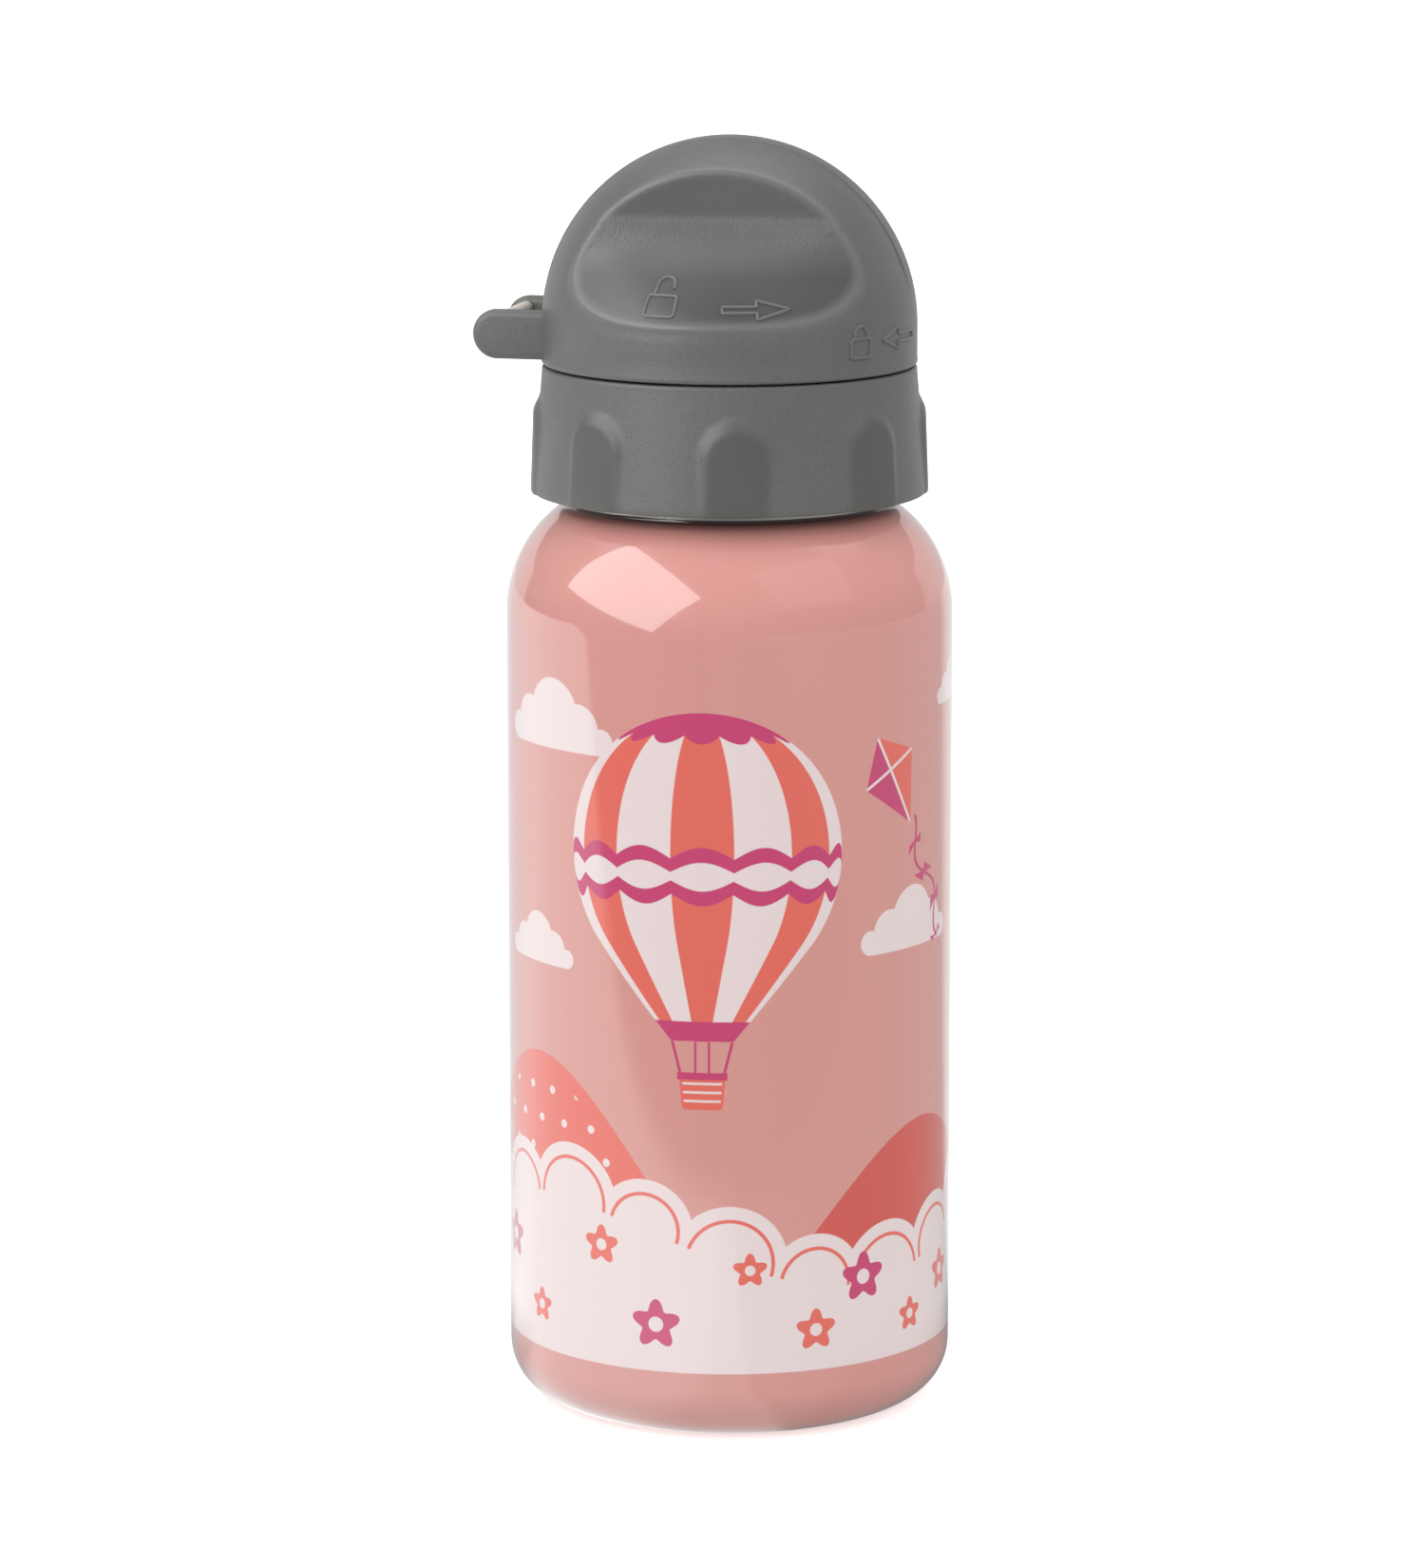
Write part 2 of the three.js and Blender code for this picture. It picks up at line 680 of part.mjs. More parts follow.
function piece(name, solid, material) {
  const mesh = new THREE.Mesh(geometryOf(solid), material);
  mesh.name = name;
  return mesh;
}

const bottle = new THREE.Group();
bottle.add(piece("bottle_shell", bottleShell(), lacquer));

const closure = new THREE.Group();
closure.add(
  piece("screw_ring", screwRing(), greyPlastic),
  piece("neck_gasket", neckGasket(), silicone),
  piece("spout_deck", spoutDeck(), palePlastic),
  piece("air_valve", airValve(), silicone),
  piece("mouthpiece", mouthpiece(), palePlastic),
  piece("mouthpiece_seal", mouthpieceSeal(), silicone),
  piece("dome_seal", domeSeal(), silicone),
  piece("crown_pad", crownPad(), silicone),
);

const dome = new THREE.Group();
dome.rotation.z = domeTurn * degrees;
dome.add(
  piece("dome_cover", domeCover(), greyPlastic),
  piece("loop_pin", pinRod(pinRadius, pinHalfLength), brightSteel),
);

const drinkingBottle = new THREE.Group();
drinkingBottle.add(bottle, closure, dome);
export default drinkingBottle;
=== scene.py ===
"""Looks of the kids' drinking bottle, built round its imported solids.

Sizes are millimetres until a mesh is made. +Z is up, the origin is the centre of the underside of
the base, and -Y is the front.
"""

import functools
import math

import bmesh
import bpy
import numpy as np
from mathutils import Matrix, Vector


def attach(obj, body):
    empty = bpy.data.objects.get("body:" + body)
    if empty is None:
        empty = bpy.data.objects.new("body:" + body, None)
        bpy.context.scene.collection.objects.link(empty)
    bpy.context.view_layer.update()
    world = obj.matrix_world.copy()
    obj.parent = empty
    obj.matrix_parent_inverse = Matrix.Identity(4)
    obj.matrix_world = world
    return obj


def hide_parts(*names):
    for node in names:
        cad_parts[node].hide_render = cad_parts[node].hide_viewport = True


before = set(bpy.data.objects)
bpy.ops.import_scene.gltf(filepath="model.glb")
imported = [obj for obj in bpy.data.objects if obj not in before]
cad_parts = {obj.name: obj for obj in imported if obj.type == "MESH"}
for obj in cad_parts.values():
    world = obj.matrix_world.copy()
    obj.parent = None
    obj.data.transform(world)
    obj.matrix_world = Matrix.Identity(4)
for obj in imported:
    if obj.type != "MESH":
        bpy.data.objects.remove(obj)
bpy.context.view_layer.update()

MM = 0.001

# Steel bottle.
BOTTLE_HEIGHT = 149.1
BOTTLE_RADIUS = 33.0
BOTTLE_WALL = 0.6
BASE_CORNER = 8.0
SHOULDER_RADIUS = 19.0
NECK_RADIUS = 24.4
NECK_FOOT = 135.6
NECK_FILLET = 1.5
RIM_ROLL = 0.9
BASE_BEAD = (14.0, 21.0, 1.2)  # inner radius, outer radius, height
NECK_THREAD = (138.6, 3.4, 1.9, 0.55, 0.95)  # foot, pitch, turns, height, half width

# Screw ring.
CLEARANCE = 0.3
RING_BOTTOM = 136.6
RING_TOP = 155.3
RING_BOTTOM_RADIUS = 29.0
RING_BORE = 25.9
RING_LIP_RADIUS = 25.0
RING_LIP_BOTTOM = 153.3
EDGE_ROUND = 0.5
RING_FOOT_ROUND = 0.25
PARTING_GROOVE = (0.12, 0.05)  # half width and depth
PARTING_ANGLES = (-39.6, 140.4)
LUG_COUNT = 8
LUG_HALF_WIDTH = 3.9
LUG_BLEND = 1.9
LUG_HEIGHT = 0.95
LUG_FOOT_SHARE = 0.3
LUG_CROWN = 151.4
LUG_TOP_SLOPE = 3.0
FIRST_LUG_ANGLE = -88.3
# How much darker the lug faces are painted, as painted shade, and how much smoother they are.
LUG_SMOOTHING_AND_SHADE = 0.6

# Dome cover, in its own frame: recesses face -Y and +Y, the carry loop is on the -X side.
DOME_RADIUS = 27.6
DOME_WALL = 1.8
DOME_BOTTOM = RING_TOP + CLEARANCE
DOME_CENTRE = 161.3
DOME_TURN = math.radians(-13.8)
GRIP_TURN = math.radians(6.3)  # of the grips and of the crest between them, from the ears
GRIP_FRAME = DOME_TURN + GRIP_TURN
GRIP_HALF_THICKNESS = 13.9
GRIP_VALLEY_HEIGHT = 15.4
GRIP_UPPER_LEAN = 0.01
GRIP_LOWER_LEAN = 1.45
GRIP_LOWER_BEND = 0.031
GRIP_PLAN_BEND = (0.0188, 4.0)  # of the lower floor, and how far below the valley it sets in
GRIP_VALLEY_ROUND = 3.0
GRIP_RIM_ROUND = 1.4
GRIP_RIM_BEAD = (0.3, 0.8)  # height and half width
DOME_LIP = 0.06
CREST_HALF_WIDTH = 3.05
CREST_EDGE = 0.15  # half the width over which its edge falls
CREST_RISE = 0.16
CREST_GROOVE = (0.13, 0.3, 0.2)  # depth, how far outside the edge, and half width
CREST_FADE = (5.0, 10.0)  # heights between which the crest sets in
EAR_REACH = 32.8
EAR_CENTRE = 159.9
EAR_RADIUS = 3.65
EAR_FACES = (8.0, 10.5)
EAR_EDGE = 1.1
EAR_ROOT = DOME_RADIUS - DOME_WALL - 4.3
PIN_REACH = 33.1
PIN_HEIGHT = 161.85
PIN_RADIUS = 0.95
PIN_HALF_LENGTH = 9.9
PIN_PLAY = 0.03

# Finish of the grips, with their painted shade and painted highlight, by how far below their
# valley a point is.
POLISH_AND_HIGHLIGHT_HALF_WIDTH = 0.9
FINISH_EDGE = 1.5  # over which the finish of a grip sets in from its rim
OUTER_SKIN = 0.9  # how deep a point of the outside can lie
COARSE_TOP = (2.5, 4.0)  # how far above the valley the coarse grain begins, and its fade
COARSE_END = (6.5, 4.5)  # how far below the valley it ends, and its fade
UPPER_SMOOTHING_AND_SHADE = (0.3, 1.5, 4.0)  # painted shade high in each grip: amount, where it ends, and its fade

# Spout deck, which the ring holds on the neck. Levels are heights above the base.
FLANGE_BOTTOM = 151.2
FLANGE_TOP = 153.0
FLANGE_RADIUS = 25.6
SPIGOT_BOTTOM = 146.5
SPIGOT_RADIUS = 22.3
SPIGOT_INNER_RADIUS = 20.9
COLLAR_RADIUS = 24.7
COLLAR_INNER_RADIUS = 22.5
COLLAR_TOP = 162.5
COLLAR_BEAD_RADIUS = 25.3
DOME_SEAL = (24.75, 159.6, 0.75)  # radius, level, and radius of its round section
TOWER_BORE = 5.2
TOWER_RADIUS = 7.9
WAIST_RADIUS = 7.3
WAIST = (155.3, 162.0)  # bottom and top
SPOUT_SEAL = (7.35, 164.15, 0.55)
TOWER_TOP = 166.0
EASE = 0.3  # of the corners of a turned piece
PLUG_RADIUS = 2.7
PLUG_STEM = 2.1
PLUG_HEAD = 2.6
PLUG_TOP = 177.07
WEB_COUNT = 3
WEB = (6.25, 1.4, 159.7, 165.7)  # length, thickness, bottom and top
VALVE_OFFSET = 15.9
VALVE_STEM = 1.7
VALVE_FLAP = ((3.15, 150.0), (3.6, 150.9))  # radius and level of its lower and upper edge
VALVE_KNOB = ((2.3, 153.3), (0.85, 155.0))
GASKET = (22.6, 25.2, 149.4, 150.9)  # radii, bottom and top

# Mouthpiece, pushed shut.
MOUTH_BOTTOM = 154.4
MOUTH_BORE = 8.2
MOUTH_LOWER_RADIUS = 9.7
MOUTH_GRIP = (9.9, 165.5, 1.0)  # radius, level and roundness of the grip flange
MOUTH_NECK_RADIUS = 7.2
MOUTH_NECK_BASE = 171.2
MOUTH_BEAD = (7.2, 174.57, 1.0)
MOUTH_TOP = 177.37
MOUTH_TOP_ROUND = 0.8
MOUTH_HOLE = 3.0
DRINK_RADIUS = 5.7

# Pad under the crown of the dome, and the boss that holds it.
PAD = (6.5, 184.37, 185.97)  # radius, bottom and top
PAD_STEM = (2.2, 186.8)  # radius and top
BOSS = (6.8, 8.3, 184.13, 186.6)  # radii, bottom and top

# Ridges and marks: radius of the round strokes that they are made of.
THREAD_STROKE = 0.55
LATCH_STROKE = 0.35
MARK_STROKE = 0.27
STROKE_SIDES = 10
# How much paler the strokes are painted, a painted highlight, and how much smoother.
STROKE_POLISH_AND_HIGHLIGHT = 0.5
MARK_STEP = 1.0  # degrees between the points of a mark
RING_THREAD = (141.0, NECK_THREAD[1] * 1.5, 20, 560, 240)  # foot, climb, angles and steps
LATCH_RISE = 0.5
LATCH_ARC = 24  # degrees
LATCH_STEPS = 20
COLLAR_LATCH_FOOT = 157.0
DOME_LATCH_FOOT = 157.6
# Signs, in degrees on the dome.
PADLOCK = (4.0, -4.4, 1.2, 2.5, 2.0, 0.9)  # half width, bottom, top, shackle and its lift, corner
OPEN_ARROW = (21.5, 1.0, 10.5, 3.1)  # length, half width, length and half width of the head
SHUT_ARROW = (20.0, 1.2, 9.0, 3.4)
OPEN_ARROW_PLACE = (11.5, 10.6)  # degrees from the front and above the middle of the dome
SHUT_ARROW_PLACE = (87.0, -1.0)
OPEN_PADLOCK_PLACE = (-9.0, 13.6)
SHUT_PADLOCK_PLACE = (57.0, -1.0)
OPEN_PADLOCK_SCALE = 1.25

# Brightness of what lights the object and of what it mirrors, where 1 is white.
KEY_GLOW = 2.08
SHEEN_GLOW = 2.8
CARD_GLOW = 0.26
FILL_LOW = 0.5
FILL_HIGH = 0.98
FILL_RIGHT = 0.7
ROOM_GLOW = 0.22
TOP_GLOW = 1.5
WALL_LEFT = 0.75
WALL_RIGHT = 0.6
FLOOR_GLOW = 0.5
BOUNCE_GLOW = 0.7
PAPER_LEFT = 1.35
PAPER_BACK = 0.9
PAPER_RIGHT = 0.5
PAPER_FRONT = 0.3
BESIDE_DARKER = 0.6

# Where what it mirrors changes: slopes from the object, places on the paper in metres.
WALL_START = (-1.13, -1.06)
WALL_END = (1.4, 1.8)
WALL_TOP = (0.35, 0.38)
WALL_TOP_SLOPE = 0.1
WALL_SHADE = (-0.6, 0.8)
PAPER_EDGE = (-0.2, -0.15)
PAPER_SIDE = (-2.0, -0.4)
PAPER_CORNER = (0.6, 0.95)
PAPER_NEAR = (0.2, 0.5)
FLOOR_HALF = 3000.0
BESIDE = (0.045, 0.08)  # how far from the axis the paper mirrors darker
BEHIND = (-0.03, -0.015)


# Node trees


class Term:
    """A value in a node tree, so that sums can be written as sums."""

    def __init__(self, socket):
        self.socket = socket
        self.tree = socket.id_data

    def __add__(self, other):
        return calc("ADD", self, other)

    def __sub__(self, other):
        return calc("SUBTRACT", self, other)

    def __rsub__(self, other):
        return calc("SUBTRACT", other, self)

    def __mul__(self, other):
        return calc("MULTIPLY", self, other)

    def __truediv__(self, other):
        return calc("DIVIDE", self, other)

    def __rtruediv__(self, other):
        return calc("DIVIDE", other, self)

    __radd__ = __add__
    __rmul__ = __mul__


def plug(socket, item):
    """Feeds an input with a Term, a socket or a plain value."""
    item = item.socket if isinstance(item, Term) else item
    if isinstance(item, bpy.types.NodeSocket):
        socket.id_data.links.new(item, socket)
    else:
        socket.default_value = item


def fill(node, **inputs):
    """Feeds a node's inputs by name."""
    for name, item in inputs.items():
        plug(node.inputs[name.replace("_", " ")], item)
    return node


def add_node(tree, kind, settings=None, **inputs):
    node = tree.nodes.new(kind)
    for name, value in (settings or {}).items():
        setattr(node, name, value)
    return fill(node, **inputs)


def calc(operation, *items):
    """The result of a math node, of which at least one item is a Term."""
    tree = next(item.tree for item in items if isinstance(item, Term))
    node = add_node(tree, "ShaderNodeMath", {"operation": operation})
    for socket, item in zip(node.inputs, items):
        plug(socket, item)
    return Term(node.outputs[0])


def smallest(*items):
    return functools.reduce(lambda first, other: calc("MINIMUM", first, other), items)


def largest(*items):
    return functools.reduce(lambda first, other: calc("MAXIMUM", first, other), items)


def size_of(value):
    return calc("ABSOLUTE", value)


def length_of(first, second):
    return calc("SQRT", first * first + second * second)


def smooth_step(value, start, end):
    """0 at start and 1 at end, eased between them."""
    kind, settings = "ShaderNodeMapRange", {"interpolation_type": "SMOOTHSTEP"}
    node = add_node(value.tree, kind, settings, Value=value, From_Min=start, From_Max=end)
    return Term(node.outputs["Result"])


def split(tree, vector):
    """The three parts of a vector."""
    parts = add_node(tree, "ShaderNodeSeparateXYZ", Vector=vector)
    return [Term(socket) for socket in parts.outputs]


def scaled(tree, vector, scale):
    node = add_node(tree, "ShaderNodeVectorMath", {"operation": "SCALE"}, Scale=scale)
    plug(node.inputs[0], vector)
    return Term(node.outputs[0])


def noise(tree, spot, scale, detail):
    node = add_node(tree, "ShaderNodeTexNoise", Vector=spot, Scale=scale, Detail=detail)
    return Term(node.outputs[0])


def colour(red, green, blue):
    """A colour from its screen values, 0 to 255."""
    linear = []
    for value in (red, green, blue):
        share = value / 255
        linear.append(share / 12.92 if share <= 0.04045 else ((share + 0.055) / 1.055) ** 2.4)
    return (*linear, 1.0)


def group_tree(name, kind, inputs, outputs):
    """A node group, its inputs as Terms by name, and its output node. Sockets are (type, name)
    and, for inputs, a default."""
    tree = bpy.data.node_groups.new(name, kind)
    for side, sockets in (("INPUT", inputs), ("OUTPUT", outputs)):
        for kind_of_socket, label, *default in sockets:
            socket = tree.interface.new_socket(
                label, in_out=side, socket_type="NodeSocket" + kind_of_socket
            )
            if default:
                socket.default_value = default[0]
    entry = tree.nodes.new("NodeGroupInput")
    given = {socket.name: Term(socket) for socket in entry.outputs if socket.name}
    return tree, given, tree.nodes.new("NodeGroupOutput")


def use_group(tree, group, **inputs):
    """The outputs of a shader group."""
    return add_node(tree, "ShaderNodeGroup", {"node_tree": group}, **inputs).outputs


def mix_colours(share, first, second):
    node = add_node(share.tree, "ShaderNodeMix", {"data_type": "RGBA"})
    for index, item in ((0, share), (6, first), (7, second)):
        plug(node.inputs[index], item)
    return Term(node.outputs[2])


# Meshes


def grid_faces(row_count, column_count, rows_close):
    """Four-sided faces of a grid of points that closes on itself round its columns."""
    rows = np.arange(row_count if rows_close else row_count - 1)
    row, column = np.meshgrid(rows, np.arange(column_count), indexing="ij")
    next_row = (row + 1) % row_count
    next_column = (column + 1) % column_count
    corners = [
        row * column_count + column,
        row * column_count + next_column,
        next_row * column_count + next_column,
        next_row * column_count + column,
    ]
    return np.stack(corners, -1).reshape(-1, 4)


def plain_mesh(name, points, faces, edges=()):
    """A mesh from points in millimetres."""
    mesh = bpy.data.meshes.new(name)
    points = np.asarray(points, float).reshape(-1, 3) * MM
    mesh.from_pydata(points.tolist(), edges, np.asarray(faces).tolist() if len(faces) else [])
    return mesh


def build_mesh(name, points, faces, material, sharp_angle=32.0):
    """A welded mesh from points in millimetres."""
    mesh = plain_mesh(name, points, faces)
    weld(mesh)
    finish_mesh(mesh, material, sharp_angle)
    return mesh


def weld(mesh):
    form = bmesh.new()
    form.from_mesh(mesh)
    bmesh.ops.remove_doubles(form, verts=form.verts, dist=1e-3 * MM)
    bmesh.ops.dissolve_degenerate(form, edges=form.edges, dist=1e-4 * MM)
    form.to_mesh(mesh)
    form.free()


def face_outwards(mesh):
    """Turns the faces of a closed mesh all outwards."""
    form = bmesh.new()
    form.from_mesh(mesh)
    bmesh.ops.recalc_face_normals(form, faces=form.faces)
    form.to_mesh(mesh)
    form.free()


def finish_mesh(mesh, material, sharp_angle):
    mesh.materials.clear()
    mesh.materials.append(material)
    mesh.shade_smooth()
    mesh.set_sharp_from_angle(angle=math.radians(sharp_angle))


def set_values(mesh, name, values, kind="FLOAT"):
    """Gives a mesh a value at each of its points."""
    mesh.attributes.new(name, kind, "POINT").data.foreach_set("value", values)


def place(name, mesh):
    piece = bpy.data.objects.new(name, mesh)
    bpy.context.scene.collection.objects.link(piece)
    return piece


def settle(piece, body, slot, *nodes):
    """Says which body a piece rides on and hides the solids that it stands for. The slot, its
    finish, is not used.
    """
    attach(piece, body)
    if nodes:
        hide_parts(*nodes)
    return piece


def evaluated_mesh(piece):
    """The plain mesh that a piece's modifiers make."""
    graph = bpy.context.evaluated_depsgraph_get()
    return bpy.data.meshes.new_from_object(piece.evaluated_get(graph), depsgraph=graph)


def arc(centre_radius, centre_height, radius, start, end, steps):
    """Points on an arc of a profile, as (radius, height), between two angles in degrees."""
    angles = np.radians(np.linspace(start, end, steps + 1))
    return np.column_stack(
        [centre_radius + radius * np.cos(angles), centre_height + radius * np.sin(angles)]
    )


def line(start, end, steps):
    return np.column_stack([np.linspace(a, b, steps + 1) for a, b in zip(start, end)])


def turn(outline, angles, rise=0):
    """The points of an outline turned about +Z, as rows by columns by three, and moved outwards
    by the rise."""
    outline = np.asarray(outline, float)
    radius, height = outline[:, 0][:, None] + rise, outline[:, 1][:, None]
    return np.stack([radius * np.cos(angles), radius * np.sin(angles), height + 0 * angles], -1)


def turned_about_z(points, angle):
    c, s = math.cos(angle), math.sin(angle)
    x, y, z = points[..., 0], points[..., 1], points[..., 2]
    return np.stack([c * x - s * y, s * x + c * y, z], -1)


def round_angles(count, extra=()):
    even = np.linspace(0, 2 * math.pi, count, endpoint=False)
    extra = np.mod(np.asarray(extra, float), 2 * math.pi)
    return np.unique(np.round(np.concatenate([even, extra]), 9))


def turned_mesh(name, outline, material, columns):
    """A solid of revolution. The outline runs up its outer side."""
    points = turn(outline, round_angles(columns))
    closes = outline[0][0] > 0
    return build_mesh(name, points, grid_faces(len(outline), columns, closes), material)


def eased(outline, radius=0.12, steps=3):
    """A closed outline with each of its corners rounded a little."""
    outline = np.asarray(outline, float)
    points = []
    for i, corner in enumerate(outline):
        if corner[0] == 0:
            points.append(corner)
            continue
        back = outline[i - 1] - corner
        ahead = outline[(i + 1) % len(outline)] - corner
        reach = min(radius, min(np.hypot(*back), np.hypot(*ahead)) * 0.45)
        start = corner + back / np.hypot(*back) * reach
        end = corner + ahead / np.hypot(*ahead) * reach
        for step in range(steps + 1):
            share = step / steps
            rest = 1 - share
            points.append(rest**2 * start + 2 * share * rest * corner + share**2 * end)
    return np.array(points)


def section_ring(name, inner, outer, bottom, top, material):
    outline = [[inner, bottom], [outer, bottom], [outer, top], [inner, top]]
    return turned_mesh(name, eased(outline), material, 96)


def fuse(name, meshes, cuts, material, sharp_angle=32.0):
    """One closed mesh out of several that overlap, less the cuts."""
    base = place(name, meshes[0])
    tools = []
    for mesh, operation in [(m, "UNION") for m in meshes[1:]] + [(m, "DIFFERENCE") for m in cuts]:
        tools.append(place(mesh.name + "_tool", mesh))
        modifier = base.modifiers.new(mesh.name, "BOOLEAN")
        modifier.operation = operation
        modifier.solver = "EXACT"
        modifier.object = tools[-1]
    fused = evaluated_mesh(base)
    base.modifiers.clear()
    base.data = fused
    for tool in tools:
        bpy.data.objects.remove(tool)
    weld(fused)
    finish_mesh(fused, material, sharp_angle)
    return base


def made_by(name, mesh, tree, values):
    """The plain mesh that a geometry tree makes of a mesh with the given inputs."""
    maker = place(name + "_maker", mesh)
    modifier = maker.modifiers.new(name, "NODES")
    modifier.node_group = tree
    for item in tree.interface.items_tree:
        if item.item_type == "SOCKET" and item.in_out == "INPUT" and item.name in values:
            modifier[item.identifier] = values[item.name]
    made = evaluated_mesh(maker)
    bpy.data.objects.remove(maker)
    made.name = name
    return made


def close_tree(geometry, material, leave):
    """Ends a geometry tree in plain meshes with their material."""
    tree = leave.id_data
    real = add_node(tree, "GeometryNodeRealizeInstances", Geometry=geometry)
    coated = add_node(
        tree, "GeometryNodeSetMaterial", Geometry=real.outputs[0], Material=material
    )
    plug(leave.inputs[0], coated.outputs[0])
    return tree


# Finishes


def make_grain_group():
    """Fine grain of a moulded or sprayed surface: a height, and a tone round 1."""
    tree, given, leave = group_tree(
        "surface_grain",
        "ShaderNodeTree",
        [
            ("Vector", "Place"),
            ("Float", "Grains per mm", 4.0),
            ("Float", "Cloud size", 0.08),
            ("Float", "Tone range", 0.1),
            ("Float", "Speckle", 0.05),
        ],
        [("Float", "Height"), ("Float", "Tone")],
    )
    fine = noise(tree, given["Place"], given["Grains per mm"], 3.0)
    broad = noise(tree, given["Place"], given["Cloud size"], 4.0)
    spread = (broad - 0.5) * given["Tone range"]
    speckle = (fine - 0.5) * given["Speckle"]
    fill(leave, Height=fine, Tone=spread + speckle + 1.0)
    return tree


def make_smudge_group():
    """Faint marks of handling: a mask of soft smears."""
    tree, given, leave = group_tree(
        "handling_marks",
        "ShaderNodeTree",
        [("Vector", "Place"), ("Float", "Rub length", 0.05), ("Float", "Amount", 0.3)],
        [("Float", "Marks")],
    )
    smear = noise(tree, given["Place"], given["Rub length"], 5.0)
    fill(leave, Marks=smooth_step(smear, 0.45, 0.75) * given["Amount"])
    return tree


GRAIN = make_grain_group()
SMUDGE = make_smudge_group()


def new_material(name, preview):
    material = bpy.data.materials.new(name)
    material.use_nodes = True
    material.diffuse_color = preview
    tree = material.node_tree
    return material, tree, tree.nodes["Principled BSDF"]


def object_millimetres(tree):
    """The place of a point in its piece, in millimetres."""
    spot = tree.nodes.new("ShaderNodeTexCoord")
    return scaled(tree, spot.outputs["Object"], 1000.0)


def bump(height, depth):
    """A height in millimetres as a change of the surface's normal."""
    node = add_node(height.tree, "ShaderNodeBump", Distance=depth * MM, Height=height)
    return node.outputs[0]


def mesh_value(tree, name):
    """A value that the mesh carries at its points, or 0 where it carries none."""
    return Term(add_node(tree, "ShaderNodeAttribute", {"attribute_name": name}).outputs["Fac"])


def make_plastic(name, base, roughness, grains, depth, tone_range, speckle, subsurface=0.0):
    """Moulded plastic, by what its mesh says: coarser at "texture", smoother and paler with a
    painted highlight where polished, smoother and darker with painted shade where shaded."""
    material, tree, shader = new_material(name, base)
    spot = object_millimetres(tree)
    texture, polish_and_highlight, smooth_and_shaded = (mesh_value(tree, part) for part in ("texture", "polish_and_highlight", "smooth_and_shaded"))
    smooth = 1.0 - largest(polish_and_highlight, smallest(smooth_and_shaded * 1.5, 0.85))
    speckle = smooth * speckle
    grain = use_group(
        tree, GRAIN, Place=spot, Grains_per_mm=grains, Tone_range=tone_range, Speckle=speckle
    )
    marks = use_group(tree, SMUDGE, Place=spot, Amount=0.12)
    # Painted highlight and painted shade: polished parts are painted paler, shaded parts darker.
    tone = Term(grain["Tone"]) + polish_and_highlight * 0.27 - smooth_and_shaded * 0.36
    height = Term(grain["Height"]) * (texture * 2.4 + 1.0) * smooth
    fill(
        shader,
        Base_Color=scaled(tree, base[:3], tone),
        Roughness=Term(marks["Marks"]) + roughness - polish_and_highlight * 0.08 - smooth_and_shaded * 0.06,
        Subsurface_Weight=subsurface,
        Subsurface_Radius=(0.002, 0.002, 0.002),
        Normal=bump(height, depth),
    )
    return material


def make_steel(name, base, roughness, metallic):
    """Bare steel with the fine rings that polishing leaves."""
    material, tree, shader = new_material(name, base)
    spot = object_millimetres(tree)
    stretched = add_node(tree, "ShaderNodeMapping", Vector=spot, Scale=(0.03, 0.03, 6.0))
    ring = noise(tree, stretched.outputs[0], 1.0, 4.0)
    fill(
        shader,
        Base_Color=scaled(tree, base[:3], ring * 0.2 + 0.9),
        Roughness=ring * 0.2 + roughness - 0.1,
        Metallic=metallic,
        Normal=bump(ring, 0.01),
    )
    return material


# Colour, roughness, grains per mm and their depth, ranges of tone and speckle, light let in.
GREY = colour(99, 99, 97)
grey_plastic = make_plastic("satin_grey_plastic", GREY, 0.4, 2.6, 0.05, 0.16, 0.4)
pale_plastic = make_plastic(
    "pale_plastic", colour(214, 211, 203), 0.38, 3.0, 0.01, 0.05, 0.04, 0.1
)
spout_plastic = make_plastic(
    "spout_plastic", colour(224, 221, 214), 0.3, 3.0, 0.01, 0.05, 0.03, 0.2
)
silicone = make_plastic(
    "soft_silicone", colour(205, 206, 203), 0.55, 4.0, 0.015, 0.06, 0.05, 0.3
)
pin_steel = make_steel("pin_steel", colour(240, 231, 221), 0.42, 0.5)
bare_steel = make_steel("bare_steel", colour(196, 194, 190), 0.3, 1.0)

PINK = colour(212, 149, 141)
PALE = colour(230, 214, 213)
CORAL = colour(226, 104, 90)
DEEP_CORAL = colour(208, 84, 74)
MAGENTA = colour(197, 60, 111)


# The picture, printed twice. u runs round the bottle and v up it, in millimetres.
PRINT_REPEAT = math.pi * BOTTLE_RADIUS
PRINT_FOOT = 10.9
PRINT_SOFT = 0.1
RING_SHADOW_HEIGHTS = (133.9, 135.2)  # heights over which the lacquer is painted darker under the ring, a painted shadow
BALLOON = (-4.0, 88.0, 21.0)  # centre and radius
BALLOON_GORES = 7.0
BALLOON_WAIST = -0.64  # height where its sides run straight, as a share of the radius
BELT_HEIGHT = -3.0
ROPE_MIDDLE = (-1.42, 2.8)  # height as a share of the radius, and half length
BASKET_HEIGHT = -1.66
CLOUDS = (  # u, v, size
    (-30.0, 104.0, 9.0),
    (31.0, 74.0, 8.0),
    (-34.0, 71.0, 6.5),
    (46.0, 108.0, 5.5),
)
PUFFS = (  # u, v and radius of the rounds of a cloud, as shares of its size
    (0.05, 0.3, 0.6),
    (-0.62, 0.14, 0.4),
    (0.66, 0.12, 0.42),
    (1.14, -0.04, 0.22),
    (-1.1, -0.03, 0.23),
)
KITE = (26.0, 99.0, 28.0)  # u, v and turn in degrees
KITE_HALVES = (5.4, 9.6, 4.0)  # half width, length below, and how much shorter it is above
HILLS = ((26.0, 20.0, 34.0, DEEP_CORAL), (32.0, 24.0, -33.0, CORAL))  # v, rise, u, colour
